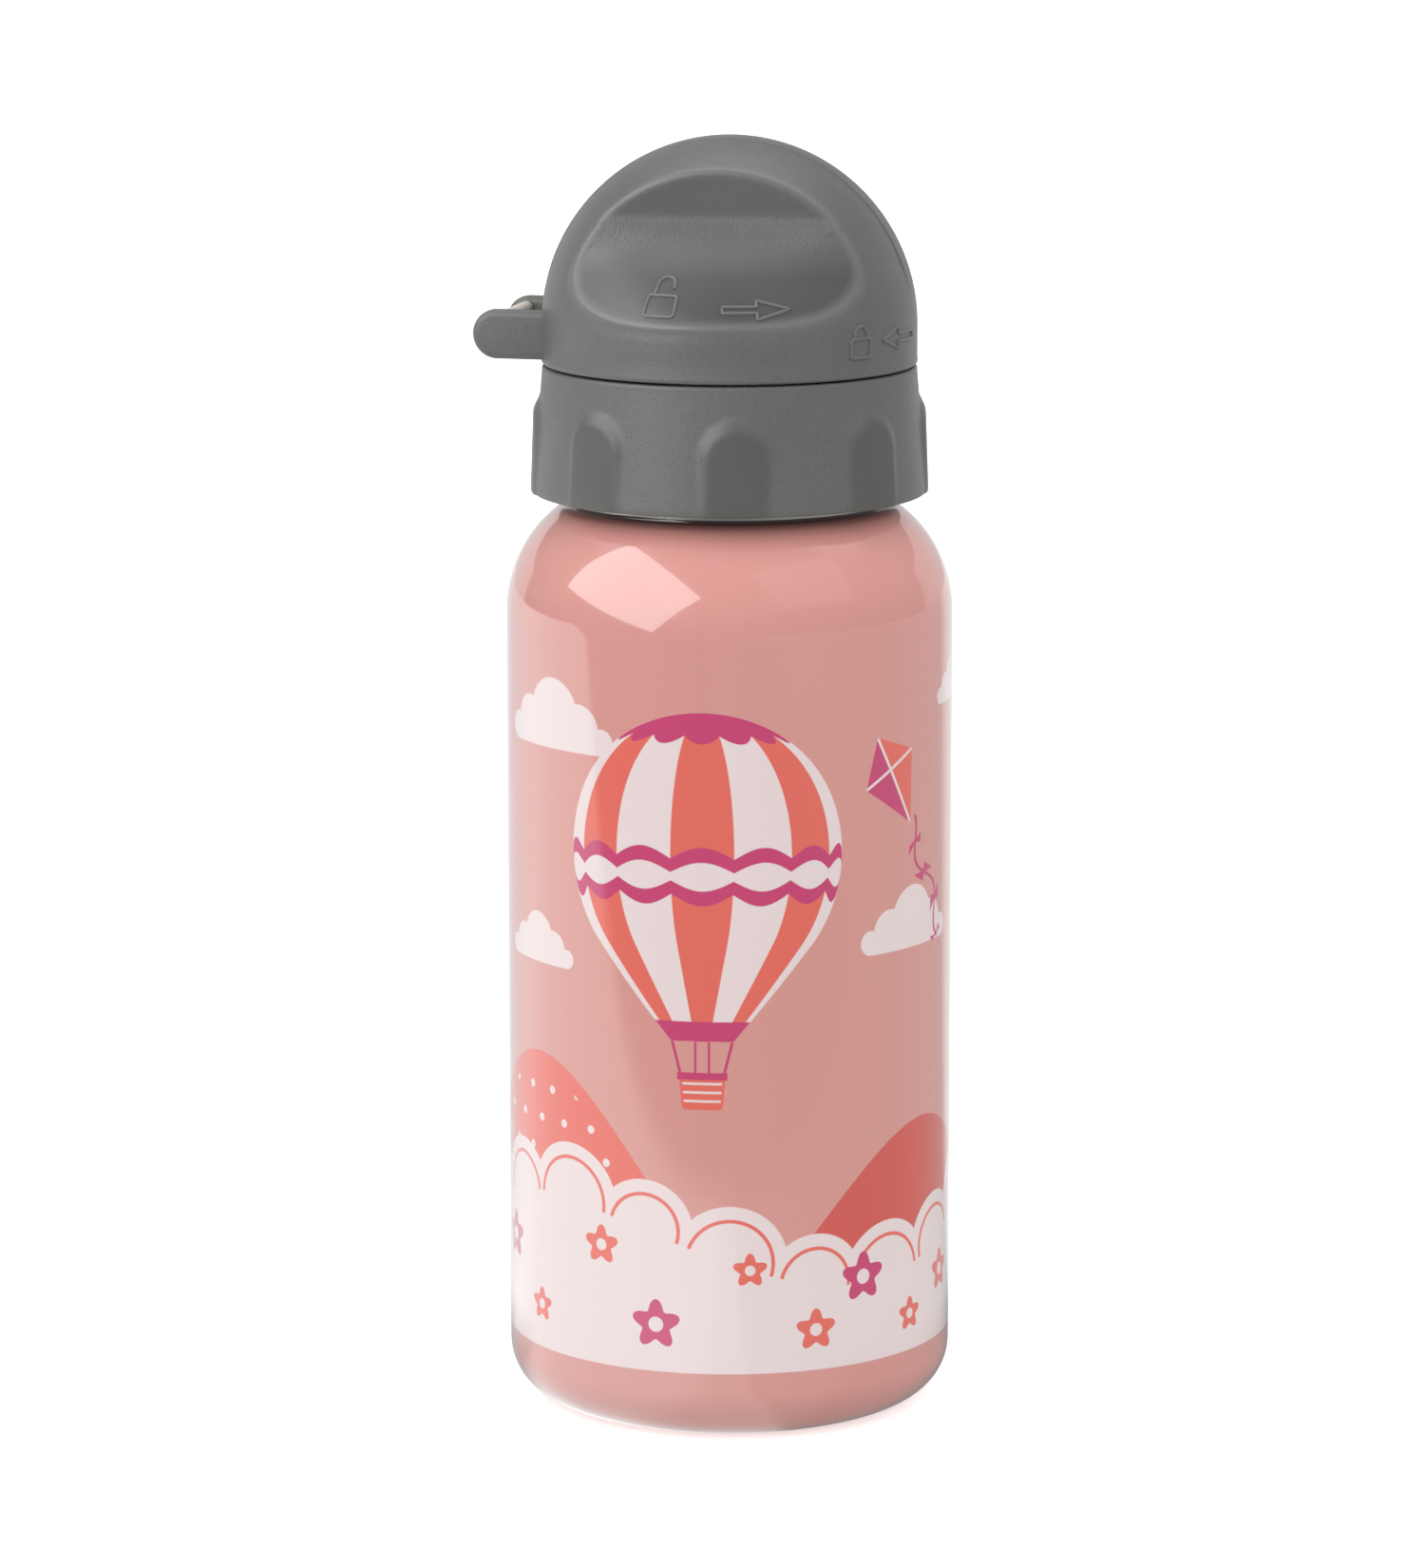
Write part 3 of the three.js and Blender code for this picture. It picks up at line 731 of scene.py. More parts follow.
BANK = (29.0, 6.0, -30.0)  # v, rise, u
BANK_PUFFS = ((0.0, 8.6), (PRINT_REPEAT / 8, 7.6))  # shift and radius
SPOTS = (19, 4.6, 0.62)  # count in a row, height of a row, radius
BLOOMS = (  # u, v, radius, and whether it is the deeper colour
    (-43.0, 26.0, 3.6, True),
    (-33.0, 17.5, 2.6, False),
    (-20.0, 29.0, 3.0, False),
    (-11.0, 18.0, 3.8, True),
    (3.0, 26.5, 2.6, False),
    (13.0, 17.0, 3.2, False),
    (21.0, 24.0, 3.8, True),
    (31.0, 16.5, 2.6, False),
    (41.0, 21.0, 3.2, False),
)


def printed(distance):
    """1 where a distance is below zero, with a soft printed edge."""
    return smooth_step(distance, PRINT_SOFT, -PRINT_SOFT)


def folded(value, period, shift=0.0):
    """The distance from the nearest of evenly spaced centres, and that centre."""
    centre = calc("ROUND", (value - shift) / period) * period + shift
    return value - centre, centre


def dot(u, v, radius):
    return length_of(u, v) - radius


def make_cloud_group():
    tree, given, leave = group_tree(
        "cloud_shape",
        "ShaderNodeTree",
        [("Float", "U", 0.0), ("Float", "V", 0.0), ("Float", "Size", 8.0)],
        [("Float", "Mask")],
    )
    size = given["Size"]
    u, v = given["U"] / size, given["V"] / size
    body = smallest(*[dot(u - at_u, v - at_v, radius) for at_u, at_v, radius in PUFFS])
    bar = largest(size_of(u) - 1.14, v - 0.1)
    fill(leave, Mask=printed(largest(smallest(body, bar), -0.26 - v) * size))
    return tree


def make_bloom_group():
    """A small flower with five petals and a round heart."""
    tree, given, leave = group_tree(
        "bloom_shape",
        "ShaderNodeTree",
        [("Float", "U", 0.0), ("Float", "V", 0.0), ("Float", "Radius", 3.0)],
        [("Float", "Petals"), ("Float", "Heart")],
    )
    u, v, radius = given["U"], given["V"], given["Radius"]
    petals = calc("COSINE", calc("ARCTAN2", u, v) * 5.0) * 0.2 + 0.8
    away = length_of(u, v)
    fill(leave, Petals=printed(away - petals * radius), Heart=printed(away - radius * 0.3))
    return tree


CLOUD = make_cloud_group()
BLOOM = make_bloom_group()


def balloon_layers(u, v):
    """The balloon's masks with their colours: gores, bands, ropes and basket."""
    centre_u, centre_v, radius = BALLOON
    side = u - centre_u
    height = v - centre_v
    share = height / radius
    ball = calc("SQRT", largest(1.0 - share * share, 0.0))
    taper = (share - BALLOON_WAIST) * 0.833 + 0.768
    half = (ball + (taper - ball) * calc("LESS_THAN", share, BALLOON_WAIST)) * radius
    bounded = smallest(largest(side / largest(half, 0.5), -1.0), 1.0)
    gore = calc("COSINE", calc("ARCSINE", bounded) * BALLOON_GORES)
    edge = calc("SQRT", largest(1.0 - bounded * bounded, 0.0))
    scale = half * edge / BALLOON_GORES
    envelope = printed(largest((size_of(side) - half) * 0.8, -1.3 * radius - height))
    scallop = size_of(gore)
    off_belt = size_of(height - BELT_HEIGHT)
    belt = off_belt - 2.6 - scallop * 1.7
    crown = 0.84 * radius - height - scallop * 1.2
    throat = height + 1.16 * radius
    rope_height, rope_half = ROPE_MIDDLE
    beside = size_of(height - rope_height * radius) - rope_half
    spread = (height + 1.55 * radius) * 0.25
    ropes = largest(size_of(size_of(side) - 3.1 - spread) - 0.22, beside)
    inner = largest(size_of(size_of(side) - 1.0) - 0.18, beside)
    drop = height - BASKET_HEIGHT * radius
    flank = largest(size_of(side) - 2.5 - drop * 0.08, 0.0)
    basket = length_of(flank, largest(size_of(drop) - 1.9, 0.0)) - 0.7
    rim = largest(size_of(side) - 3.7, size_of(drop - 2.4) - 0.55)
    weave = largest(size_of(folded(drop, 1.3)[0]) - 0.17, basket + 0.4)
    return [
        (printed(smallest(ropes, inner)), MAGENTA),
        (printed(basket), CORAL),
        (printed(weave), PALE),
        (printed(rim), MAGENTA),
        (envelope, PALE),
        (envelope * printed(0.0 - gore * scale), CORAL),
        (envelope * printed(smallest(belt, crown, throat)), MAGENTA),
        (envelope * printed(off_belt - 0.6 - scallop * 1.5), PALE),
    ]


def kite_layers(u, v):
    centre_u, centre_v, degrees = KITE
    half_width, below, shorter = KITE_HALVES
    c, s = math.cos(math.radians(degrees)), math.sin(math.radians(degrees))
    across = (u - centre_u) * c + (v - centre_v) * s
    along = (v - centre_v) * c - (u - centre_u) * s
    long_share = size_of(along) / (below - calc("GREATER_THAN", along, 0.0) * shorter)
    cloth = printed((size_of(across) / half_width + long_share - 1.0) * 4.2)
    bars = smallest(size_of(across), size_of(along)) - 0.22
    sway = size_of(across - calc("SINE", along * 0.5) * 1.5)
    tail = largest(sway * 0.8 - 0.24, size_of(along + 19.5) - 10.2)
    knot = size_of(folded(along, 5.6, -1.5)[0])
    bows = largest(sway - 1.7, knot - sway * 0.5 - 0.25, size_of(along + 21.0) - 8.4)
    return [
        (printed(smallest(tail, bows)), MAGENTA),
        (cloth, MAGENTA),
        (cloth * printed(0.0 - across), CORAL),
        (cloth * printed(bars), PALE),
    ]


def ground_layers(u, v):
    """Two hills and a pale scalloped bank in front of them, all ending in a straight foot."""

    def wave_height(at, middle, rise, crest):
        return calc("COSINE", (at - crest) * (2 * math.pi / PRINT_REPEAT)) * rise + middle

    foot = printed(PRINT_FOOT - v)
    hills = [((v - wave_height(u, *hill)) * 0.75, shade) for *hill, shade in HILLS]
    count, row_height, radius = SPOTS
    row, row_centre = folded(v, row_height)
    step = calc("SINE", row_centre * (math.pi / (2 * row_height)))
    spots = dot(folded(u + step * step * 2.7, PRINT_REPEAT / count)[0], row, radius)
    puffs = []
    for shift, puff_radius in BANK_PUFFS:
        along, centre = folded(u, PRINT_REPEAT / 4, shift)
        puffs.append(dot(along, v - wave_height(centre, *BANK), puff_radius))
    above = v - wave_height(u, *BANK)
    inner_line = size_of(smallest(*[puff + 2.2 for puff in puffs])) - 0.28
    masks = hills + [
        (largest(spots, hills[1][0] + 2.0), PALE),
        (smallest(*puffs, above), PALE),
        (largest(inner_line, 0.0 - above), CORAL),
    ]
    return [(foot * printed(mask), shade) for mask, shade in masks]


def make_print_group():
    """The whole picture over the base colour."""
    tree, given, leave = group_tree(
        "balloon_print",
        "ShaderNodeTree",
        [("Vector", "Place")],
        [("Color", "Colour"), ("Float", "Ink")],
    )
    x, y, v = split(tree, given["Place"])
    u = folded(calc("ARCTAN2", x, 0.0 - y) * BOTTLE_RADIUS, PRINT_REPEAT)[0]
    layers = []
    for at_u, at_v, size in CLOUDS:
        apart = folded(u - at_u, PRINT_REPEAT)[0]
        cloud = use_group(tree, CLOUD, U=apart, V=v - at_v, Size=size)
        layers.append((Term(cloud["Mask"]), PALE))
    layers += kite_layers(u, v) + ground_layers(u, v) + balloon_layers(u, v)
    for at_u, at_v, radius, deep in BLOOMS:
        bloom = use_group(tree, BLOOM, U=u - at_u, V=v - at_v, Radius=radius)
        layers.append((Term(bloom["Petals"]), MAGENTA if deep else CORAL))
        layers.append((Term(bloom["Heart"]), PALE))
    shade = PINK
    for mask, layer_colour in layers:
        shade = mix_colours(mask, shade, layer_colour)
    fill(leave, Colour=shade, Ink=largest(*[mask for mask, _ in layers]))
    return tree


def make_lacquer():
    """Sprayed colour with the picture printed on it, under clear varnish, with a painted shadow
    under the ring.
    """
    material, tree, shader = new_material("lacquered_steel", PINK)
    spot = object_millimetres(tree)
    grain = use_group(
        tree, GRAIN, Place=spot, Grains_per_mm=0.7, Cloud_size=0.04, Tone_range=0.03, Speckle=0.01
    )
    marks = use_group(tree, SMUDGE, Place=spot, Amount=0.05)
    picture = use_group(tree, make_print_group(), Place=spot)
    # Painted shadow: the lacquer is painted darker just under the ring, where the ring's shadow
    # falls.
    tone = Term(grain["Tone"]) * (1.0 - smooth_step(split(tree, spot)[2], *RING_SHADOW_HEIGHTS) * 0.92)
    ink = Term(picture["Ink"])
    fill(
        shader,
        Base_Color=scaled(tree, picture["Colour"], tone),
        Roughness=Term(marks["Marks"]) + ink * 0.1 + 0.12,
        Specular_IOR_Level=0.3,
        Coat_Weight=1.0,
        Coat_IOR=1.65,
        Coat_Roughness=0.02,
        Normal=bump(Term(grain["Height"]) * 0.1 + ink, 0.015),
    )
    return material


lacquer = make_lacquer()


# Steel bottle


def thread_rise(angle, height, thread):
    """How far a screw thread stands out at an angle and height, fading in and out at its ends."""
    foot, pitch, turns, rise, half_width = thread
    total = np.zeros(np.broadcast(angle, height).shape)
    fade = 0.07
    for start in range(-1, int(turns) + 2):
        along = np.mod(angle, 2 * math.pi) / (2 * math.pi) + start
        off = np.abs(height - foot - pitch * along) / half_width
        ends = np.clip(along / fade, 0, 1) * np.clip((turns - along) / fade, 0, 1)
        crown = np.clip(1.25 - off, 0, 1)
        total = np.maximum(total, rise * ends * crown * crown * (3 - 2 * crown))
    return total


def bottle_line(inset):
    """The line from the axis up to the rim, set in from the outside by the given amount."""
    shoulder_centre = BOTTLE_RADIUS - SHOULDER_RADIUS
    fillet_centre = NECK_RADIUS + NECK_FILLET
    reach = SHOULDER_RADIUS + NECK_FILLET
    rise = math.sqrt(reach**2 - (fillet_centre - shoulder_centre) ** 2)
    shoulder_end = math.degrees(math.atan2(rise, fillet_centre - shoulder_centre))
    bead_inner, bead_outer, bead_height = BASE_BEAD
    share = np.linspace(0, 1, 25)
    bead_rise = bead_height * (1 - np.cos(2 * math.pi * share)) / 2
    wall = BOTTLE_RADIUS - inset
    neck = NECK_RADIUS - inset
    return np.vstack(
        [
            [[0, inset]],
            line((4, inset), (bead_inner - 1, inset), 3),
            np.column_stack([bead_inner + (bead_outer - bead_inner) * share, bead_rise + inset]),
            arc(BOTTLE_RADIUS - BASE_CORNER, BASE_CORNER, BASE_CORNER - inset, -90, 0, 20),
            line((wall, 20), (wall, 110), 9),
            arc(shoulder_centre, NECK_FOOT - rise, SHOULDER_RADIUS - inset, 0, shoulder_end, 32),
            arc(fillet_centre, NECK_FOOT, NECK_FILLET + inset, shoulder_end + 180, 180, 8)[1:],
            line((neck, NECK_FOOT + 0.4), (neck, BOTTLE_HEIGHT - 1.1), 52),
        ]
    )


def make_bottle():
    roll_centre = NECK_RADIUS - RIM_ROLL
    inner_neck = NECK_RADIUS - BOTTLE_WALL
    roll_end = 360 - math.degrees(math.acos((inner_neck - roll_centre) / RIM_ROLL))
    roll = arc(roll_centre, BOTTLE_HEIGHT - RIM_ROLL, RIM_ROLL, 0, roll_end, 18)
    outline = np.vstack([bottle_line(0), roll, bottle_line(BOTTLE_WALL)[::-1]])
    angles = round_angles(192)
    radius, height = outline[:, 0][:, None], outline[:, 1][:, None]
    on_neck = (height > NECK_FOOT) & (radius > inner_neck - 0.01)
    points = turn(outline, angles, on_neck * thread_rise(angles[None, :], height, NECK_THREAD))
    faces = grid_faces(len(outline), len(angles), False)
    mesh = build_mesh("bottle_body", points, faces, lacquer)
    mesh.materials.append(bare_steel)
    for face in mesh.polygons:
        x, y, z = face.center / MM
        out = Vector((x, y, z - min(max(z, 10), 115))).dot(face.normal) > 0
        face.material_index = 0 if out and z < NECK_FOOT + 0.2 else 1
    return place("bottle_body", mesh)


settle(make_bottle(), "bottle", "lacquered_steel", "bottle_shell")


# Screw ring

LUG_INPUTS = (
    ("Int", "Lug Count", LUG_COUNT),
    ("Float", "First Angle", math.radians(FIRST_LUG_ANGLE)),
    ("Float", "Wall Radius", RING_BOTTOM_RADIUS * MM),
    ("Float", "Half Width", LUG_HALF_WIDTH * MM),
    ("Float", "Blend", LUG_BLEND * MM),
    ("Float", "Rise", LUG_HEIGHT * MM),
    ("Float", "Foot Share", LUG_FOOT_SHARE),
    ("Float", "Foot", RING_BOTTOM * MM),
    ("Float", "Spring Line", (LUG_CROWN - LUG_HALF_WIDTH - LUG_TOP_SLOPE) * MM),
    ("Float", "Crown", LUG_CROWN * MM),
    ("Float", "Top Slope", LUG_TOP_SLOPE * MM),
)


def make_lug_tree():
    """Pushes the marked wall of a ring outwards in round-topped lugs, evenly spaced round +Z, and
    marks their faces for painted shade.
    """
    tree, given, leave = group_tree(
        "grip_lugs",
        "GeometryNodeTree",
        [("Geometry", "Ring"), *LUG_INPUTS, ("Material", "Material")],
        [("Geometry", "Ring")],
    )
    x, y, z = split(tree, tree.nodes.new("GeometryNodeInputPosition").outputs[0])
    angle = calc("ARCTAN2", y, x) - given["First Angle"]
    pitch = 2 * math.pi / given["Lug Count"]
    along = calc("WRAP", angle, pitch * 0.5, pitch * -0.5) * given["Wall Radius"]
    above = largest(z - given["Spring Line"], 0.0)
    away = largest(length_of(along, above), 1e-6)
    slope = given["Blend"] + (given["Top Slope"] - given["Blend"]) * (above / away)
    fade = 1.0 - smooth_step((away - given["Half Width"]) / slope, 0.0, 1.0)
    lift = (z - given["Foot"]) / (given["Crown"] - given["Foot"])
    share = given["Foot Share"] + (1.0 - given["Foot Share"]) * lift
    flat = add_node(tree, "ShaderNodeCombineXYZ", X=x, Y=y)
    outward = add_node(tree, "ShaderNodeVectorMath", {"operation": "NORMALIZE"})
    plug(outward.inputs[0], flat.outputs[0])
    wall = add_node(
        tree, "GeometryNodeInputNamedAttribute", {"data_type": "BOOLEAN"}, Name="wall"
    ).outputs["Attribute"]
    moved = add_node(
        tree,
        "GeometryNodeSetPosition",
        Geometry=given["Ring"],
        Selection=wall,
        Offset=scaled(tree, outward.outputs[0], given["Rise"] * share * fade),
    )
    # Painted shade: the lug faces are marked to be painted darker and made smoother.
    smooth_and_shaded = add_node(
        tree,
        "GeometryNodeStoreNamedAttribute",
        {"data_type": "FLOAT", "domain": "POINT"},
        Geometry=moved.outputs[0],
        Selection=wall,
        Name="smooth_and_shaded",
        Value=fade * LUG_SMOOTHING_AND_SHADE,
    )
    return close_tree(smooth_and_shaded.outputs[0], given["Material"], leave)


def ring_outline():
    """The ring's section, and which of its points are on the outer wall."""
    foot, steps = RING_FOOT_ROUND, 6
    outer = [
        arc(RING_BOTTOM_RADIUS - foot, RING_BOTTOM + foot, foot, -90, 0, steps),
        line((RING_BOTTOM_RADIUS, RING_BOTTOM + 0.8), (DOME_RADIUS, RING_TOP - 0.8), 56),
        arc(DOME_RADIUS - EDGE_ROUND, RING_TOP - EDGE_ROUND, EDGE_ROUND, 0, 90, steps),
    ]
    inner = [
        [RING_LIP_RADIUS + 0.2, RING_TOP],
        [RING_LIP_RADIUS, RING_TOP - 0.2],
        [RING_LIP_RADIUS, RING_LIP_BOTTOM],
        [RING_BORE - 0.2, RING_LIP_BOTTOM],
        [RING_BORE, RING_LIP_BOTTOM - 0.2],
        [RING_BORE, RING_BOTTOM + 0.4],
        [RING_BORE + 0.4, RING_BOTTOM],
    ]
    outline = np.vstack([*outer, inner])
    return outline, np.arange(len(outline)) < len(outline) - len(inner)


def make_ring():
    outline, on_wall = ring_outline()
    half, depth = PARTING_GROOVE
    partings = np.mod(np.radians(PARTING_ANGLES), 2 * math.pi)
    steps = (-1.2, -1, 0, 1, 1.2)
    close = [parting + step * half / DOME_RADIUS for parting in partings for step in steps]
    angles = round_angles(400, close)
    points = turn(outline, angles)
    off = np.abs(angles[:, None] - partings).min(1) * DOME_RADIUS
    sunk = depth * np.clip(1.2 - off / half, 0, 1) * on_wall[:, None]
    points[..., :2] *= (1 - sunk / outline[:, 0][:, None])[..., None]
    mesh = plain_mesh("ring_blank", points, grid_faces(len(outline), len(angles), True))
    set_values(mesh, "wall", np.repeat(on_wall, len(angles)), "BOOLEAN")
    values = {name: value for _, name, value in LUG_INPUTS}
    values["Material"] = grey_plastic
    made = made_by("lug_ring", mesh, make_lug_tree(), values)
    finish_mesh(made, grey_plastic, 40)
    return place("lug_ring", made)


settle(make_ring(), "ring", "grey_plastic", "screw_ring")


# Dome cover


def smooth_max(a, b, width):
    """The larger of two values, with the corner between them rounded over the given width."""
    overlap = np.maximum(width - np.abs(a - b), 0) / width
    return np.maximum(a, b) + overlap * overlap * width / 4


def dome_shapes(points, crest=0.0):
    """How far points in the grips' frame are outside the round of the dome, outside the floor of
    the nearer grip, and from the rim between the two, measured across it. With crest 1 the round
    carries the crest over the crown, and with 0 it is plain."""
    x, y = points[..., 0], points[..., 1]
    height = points[..., 2] - DOME_CENTRE
    depth = np.abs(y)
    band = np.clip((CREST_HALF_WIDTH + CREST_EDGE - depth) / (2 * CREST_EDGE), 0, 1)
    groove, groove_place, groove_half = CREST_GROOVE
    cut = groove * np.exp(-(((depth - CREST_HALF_WIDTH - groove_place) / groove_half) ** 2))
    crest_start, crest_full = CREST_FADE
    fade = np.clip((height - crest_start) / (crest_full - crest_start), 0, 1)
    lowered = crest * (CREST_RISE * (1 - band * band * (3 - 2 * band)) + cut) * fade
    lifted = np.maximum(height, 0)
    away = np.maximum(np.sqrt(x**2 + y**2 + lifted**2), 1e-6)
    shell = away - DOME_RADIUS + lowered
    below = GRIP_VALLEY_HEIGHT - height
    plan_bend, depth_of_bend = GRIP_PLAN_BEND
    bend = plan_bend * (1 - np.exp(-np.maximum(below, 0) / depth_of_bend))
    lower = below * (GRIP_LOWER_LEAN - GRIP_LOWER_BEND * below) - bend * x**2
    rise = smooth_max(-GRIP_UPPER_LEAN * below, lower, GRIP_VALLEY_ROUND)
    on_lower = np.clip(0.5 + (lower + GRIP_UPPER_LEAN * below) / (2 * GRIP_VALLEY_ROUND), 0, 1)
    lower_lean = GRIP_LOWER_LEAN - 2 * GRIP_LOWER_BEND * below
    lean = on_lower * lower_lean - (1 - on_lower) * GRIP_UPPER_LEAN
    swing = on_lower * 2 * bend * x
    steepness = np.sqrt(1 + lean**2 + swing**2)
    recess = (depth - GRIP_HALF_THICKNESS - rise) / steepness
    same = (swing * x + depth + lean * lifted) / (steepness * away)
    across = (shell - recess) / np.sqrt(np.maximum(1 - same**2, 0.05))
    return shell, recess, across


def dome_field(points, inset, crest):
    """Below zero inside the form of the dome and above zero outside it."""
    shell, recess, across = dome_shapes(points, crest)
    bead_height, bead_half = GRIP_RIM_BEAD
    bead = 0 if inset else bead_height * np.exp(-((across / bead_half) ** 2))
    return smooth_max(shell, recess, GRIP_RIM_ROUND) - bead + inset


def dome_surface(rays, inset, crest=0.0):
    """Where rays from the centre of the dome leave its form."""
    centre = np.array([0, 0, DOME_CENTRE])
    inside = np.zeros(rays.shape[:-1])
    outside = np.full(rays.shape[:-1], DOME_RADIUS + 1.0)
    for _ in range(34):
        middle = (inside + outside) / 2
        within = dome_field(centre + rays * middle[..., None], inset, crest) < 0
        inside = np.where(within, middle, inside)
        outside = np.where(within, outside, middle)
    return centre + rays * inside[..., None]


def dome_half(inset, tilts, swings, crest=0.0):
    """The dome above its centre, as rows over the crown: tilt is to +Y, swing from +X to -X."""
    tilt, swing = np.meshgrid(tilts, swings, indexing="ij")
    rays = [np.cos(tilt) * np.cos(swing), np.sin(tilt), np.cos(tilt) * np.sin(swing)]
    return dome_surface(np.stack(rays, -1), inset, crest)


def dome_tilts():
    """Tilts of the rows, closer together where the crest over the crown begins and ends."""
    grip = np.arange(14, 85.9, 0.6)
    middle = np.linspace(-14, 14, 19)[1:-1]
    pole = np.array([86, 87.3, 88.7, 90])
    edge = math.degrees(math.asin(CREST_HALF_WIDTH / DOME_RADIUS))
    close = edge + np.linspace(-0.4, 1.5, 15)
    parts = [grip, -grip, pole, -pole, middle, close, -close]
    return np.radians(np.unique(np.round(np.concatenate(parts), 6)))


def dome_shell():
    """The cover's wall as one closed mesh: its outside, its inside, and the skirt and rim."""
    tilts = dome_tilts()
    swings = np.linspace(0, math.pi, 221)
    outer = dome_half(0, tilts, swings, 1.0)
    inner = dome_half(DOME_WALL, tilts, swings[::5])
    points, faces = [], []

    def add(block, quads, flip):
        """Adds a block of points with faces that count from its first point."""
        start = sum(len(p) for p in points)
        points.append(block.reshape(-1, 3))
        faces.append((quads[:, ::-1] if flip else quads) + start)

    def cap(block, flip):
        rows, columns = block.shape[:2]
        row, column = np.meshgrid(np.arange(rows - 1), np.arange(columns - 1), indexing="ij")
        corner = row * columns + column
        corners = [corner, corner + columns, corner + columns + 1, corner + 1]
        add(block, np.stack(corners, -1).reshape(-1, 4), flip)

    def skirt(half, levels, cuts, flip):
        """Rows straight down from the edge of a half dome, and the last of them."""
        edge = np.vstack([half[:, 0], half[::-1, -1][1:-1]])
        radius = np.hypot(edge[:, 0], edge[:, 1])
        rows = []
        for level, cut in zip(levels, cuts):
            share = (radius - cut) / radius
            height = np.full(len(edge), level)
            rows.append(np.column_stack([edge[:, 0] * share, edge[:, 1] * share, height]))
        add(np.array(rows), grid_faces(len(rows), len(edge), False), flip)
        return rows[-1]

    cap(outer, True)
    cap(inner, False)
    rises = [0.95, 0.75, 0.55, 0.35, 0.2, 0.08, 0]
    levels = [DOME_CENTRE, DOME_CENTRE - 2] + [DOME_BOTTOM + rise for rise in rises]
    cuts = [0, 0, 0, -DOME_LIP * 0.7, -DOME_LIP, -DOME_LIP * 0.6, 0.03, 0.14, 0.3]
    outside = skirt(outer, levels, cuts, True)
    inside = skirt(inner, [DOME_CENTRE, DOME_BOTTOM + 0.2, DOME_BOTTOM], [0, 0, -0.2], False)
    add(np.array([outside, inside]), grid_faces(2, len(outside), False), True)
    return np.vstack(points), np.vstack(faces)


def ear_mesh(side):
    """One ear: a flat arm with a round end and well rounded edges."""
    inner_face, outer_face = EAR_FACES
    middle, half_thickness = (inner_face + outer_face) / 2, (outer_face - inner_face) / 2
    turns = np.radians(np.linspace(0, 90, 8))
    flat = half_thickness - EAR_EDGE
    levels = [*(-flat - EAR_EDGE * np.cos(turns)), *(flat + EAR_EDGE * np.cos(turns[::-1]))]
    insets = [*(EAR_EDGE - EAR_EDGE * np.sin(turns)), *(EAR_EDGE - EAR_EDGE * np.sin(turns[::-1]))]
    reaches = np.linspace(EAR_ROOT, EAR_REACH, 14)
    ends = np.linspace(math.pi / 2, 3 * math.pi / 2, 33)[1:-1]
    rows = []
    for level, inset in zip(levels, insets):
        half = EAR_RADIUS - inset
        upper = np.column_stack([-reaches, np.full(len(reaches), half)])
        end = np.column_stack([-EAR_REACH + half * np.cos(ends), half * np.sin(ends)])
        x, z = np.vstack([upper, end, upper[::-1] * [1, -1]]).T
        rows.append(np.column_stack([x, np.full(len(x), side * middle + level), z + EAR_CENTRE]))
    block = turned_about_z(np.array(rows), DOME_TURN)
    count = block.shape[1]
    points = np.vstack([block.reshape(-1, 3), block[0].mean(0), block[-1].mean(0)])
    faces = grid_faces(len(rows), count, False)[:, ::-1].tolist()
    low, high = len(points) - 2, len(points) - 1
    start = (len(rows) - 1) * count
    for i in range(count):
        after = (i + 1) % count
        faces += [[low, i, after], [high, start + after, start + i]]
    mesh = bpy.data.meshes.new("ear")
    mesh.from_pydata((points * MM).tolist(), [], faces)
    face_outwards(mesh)
    return mesh


def rod_mesh(radius, half_length, ease):
    """The pin of the carry loop, or the hole for it."""
    outline = np.vstack(
        [
            [[0, -half_length]],
            arc(radius - ease, -half_length + ease, ease, -90, 0, 4),
            arc(radius - ease, half_length - ease, ease, 0, 90, 4),
            [[0, half_length]],
        ]
    )
    points = turn(outline, round_angles(48))
    lying = [points[..., 0] - PIN_REACH, -points[..., 2], points[..., 1] + PIN_HEIGHT]
    turned = turned_about_z(np.stack(lying, -1), DOME_TURN)
    return build_mesh("pin_rod", turned, grid_faces(len(outline), 48, False), pin_steel)


def mark_finish(mesh):
    """Marks the coarse parts of the grips, the parts painted darker as painted shade, and their
    polished rims, painted paler as a painted highlight.
    """
    points = np.empty(len(mesh.vertices) * 3)
    mesh.vertices.foreach_get("co", points)
    points = turned_about_z(points.reshape(-1, 3) / MM, -GRIP_FRAME)
    shell, recess, across = dome_shapes(points)
    outside = np.maximum(shell, recess) > -OUTER_SKIN
    in_grip = np.clip(-across / FINISH_EDGE, 0, 1) * outside
    below = DOME_CENTRE + GRIP_VALLEY_HEIGHT - points[:, 2]
    coarse_top, top_fade = COARSE_TOP
    coarse_end, end_fade = COARSE_END
    amount, shade_end, shade_fade = UPPER_SMOOTHING_AND_SHADE
    band = np.clip((below + coarse_top) / top_fade, 0, 1)
    band = band * np.clip((coarse_end - below) / end_fade, 0, 1)
    # Painted shade: low on the floor and high in each grip the plastic is painted darker.
    smooth_and_shaded = np.clip((below - coarse_end + end_fade) / end_fade, 0, 1)
    smooth_and_shaded = smooth_and_shaded + amount * np.clip((shade_end - below) / shade_fade, 0, 1)
    # The rims are polished and painted paler, a painted highlight.
    set_values(mesh, "polish_and_highlight", np.exp(-((across / POLISH_AND_HIGHLIGHT_HALF_WIDTH) ** 2)) * outside)
    set_values(mesh, "texture", in_grip * band)
    set_values(mesh, "smooth_and_shaded", in_grip * smooth_and_shaded)


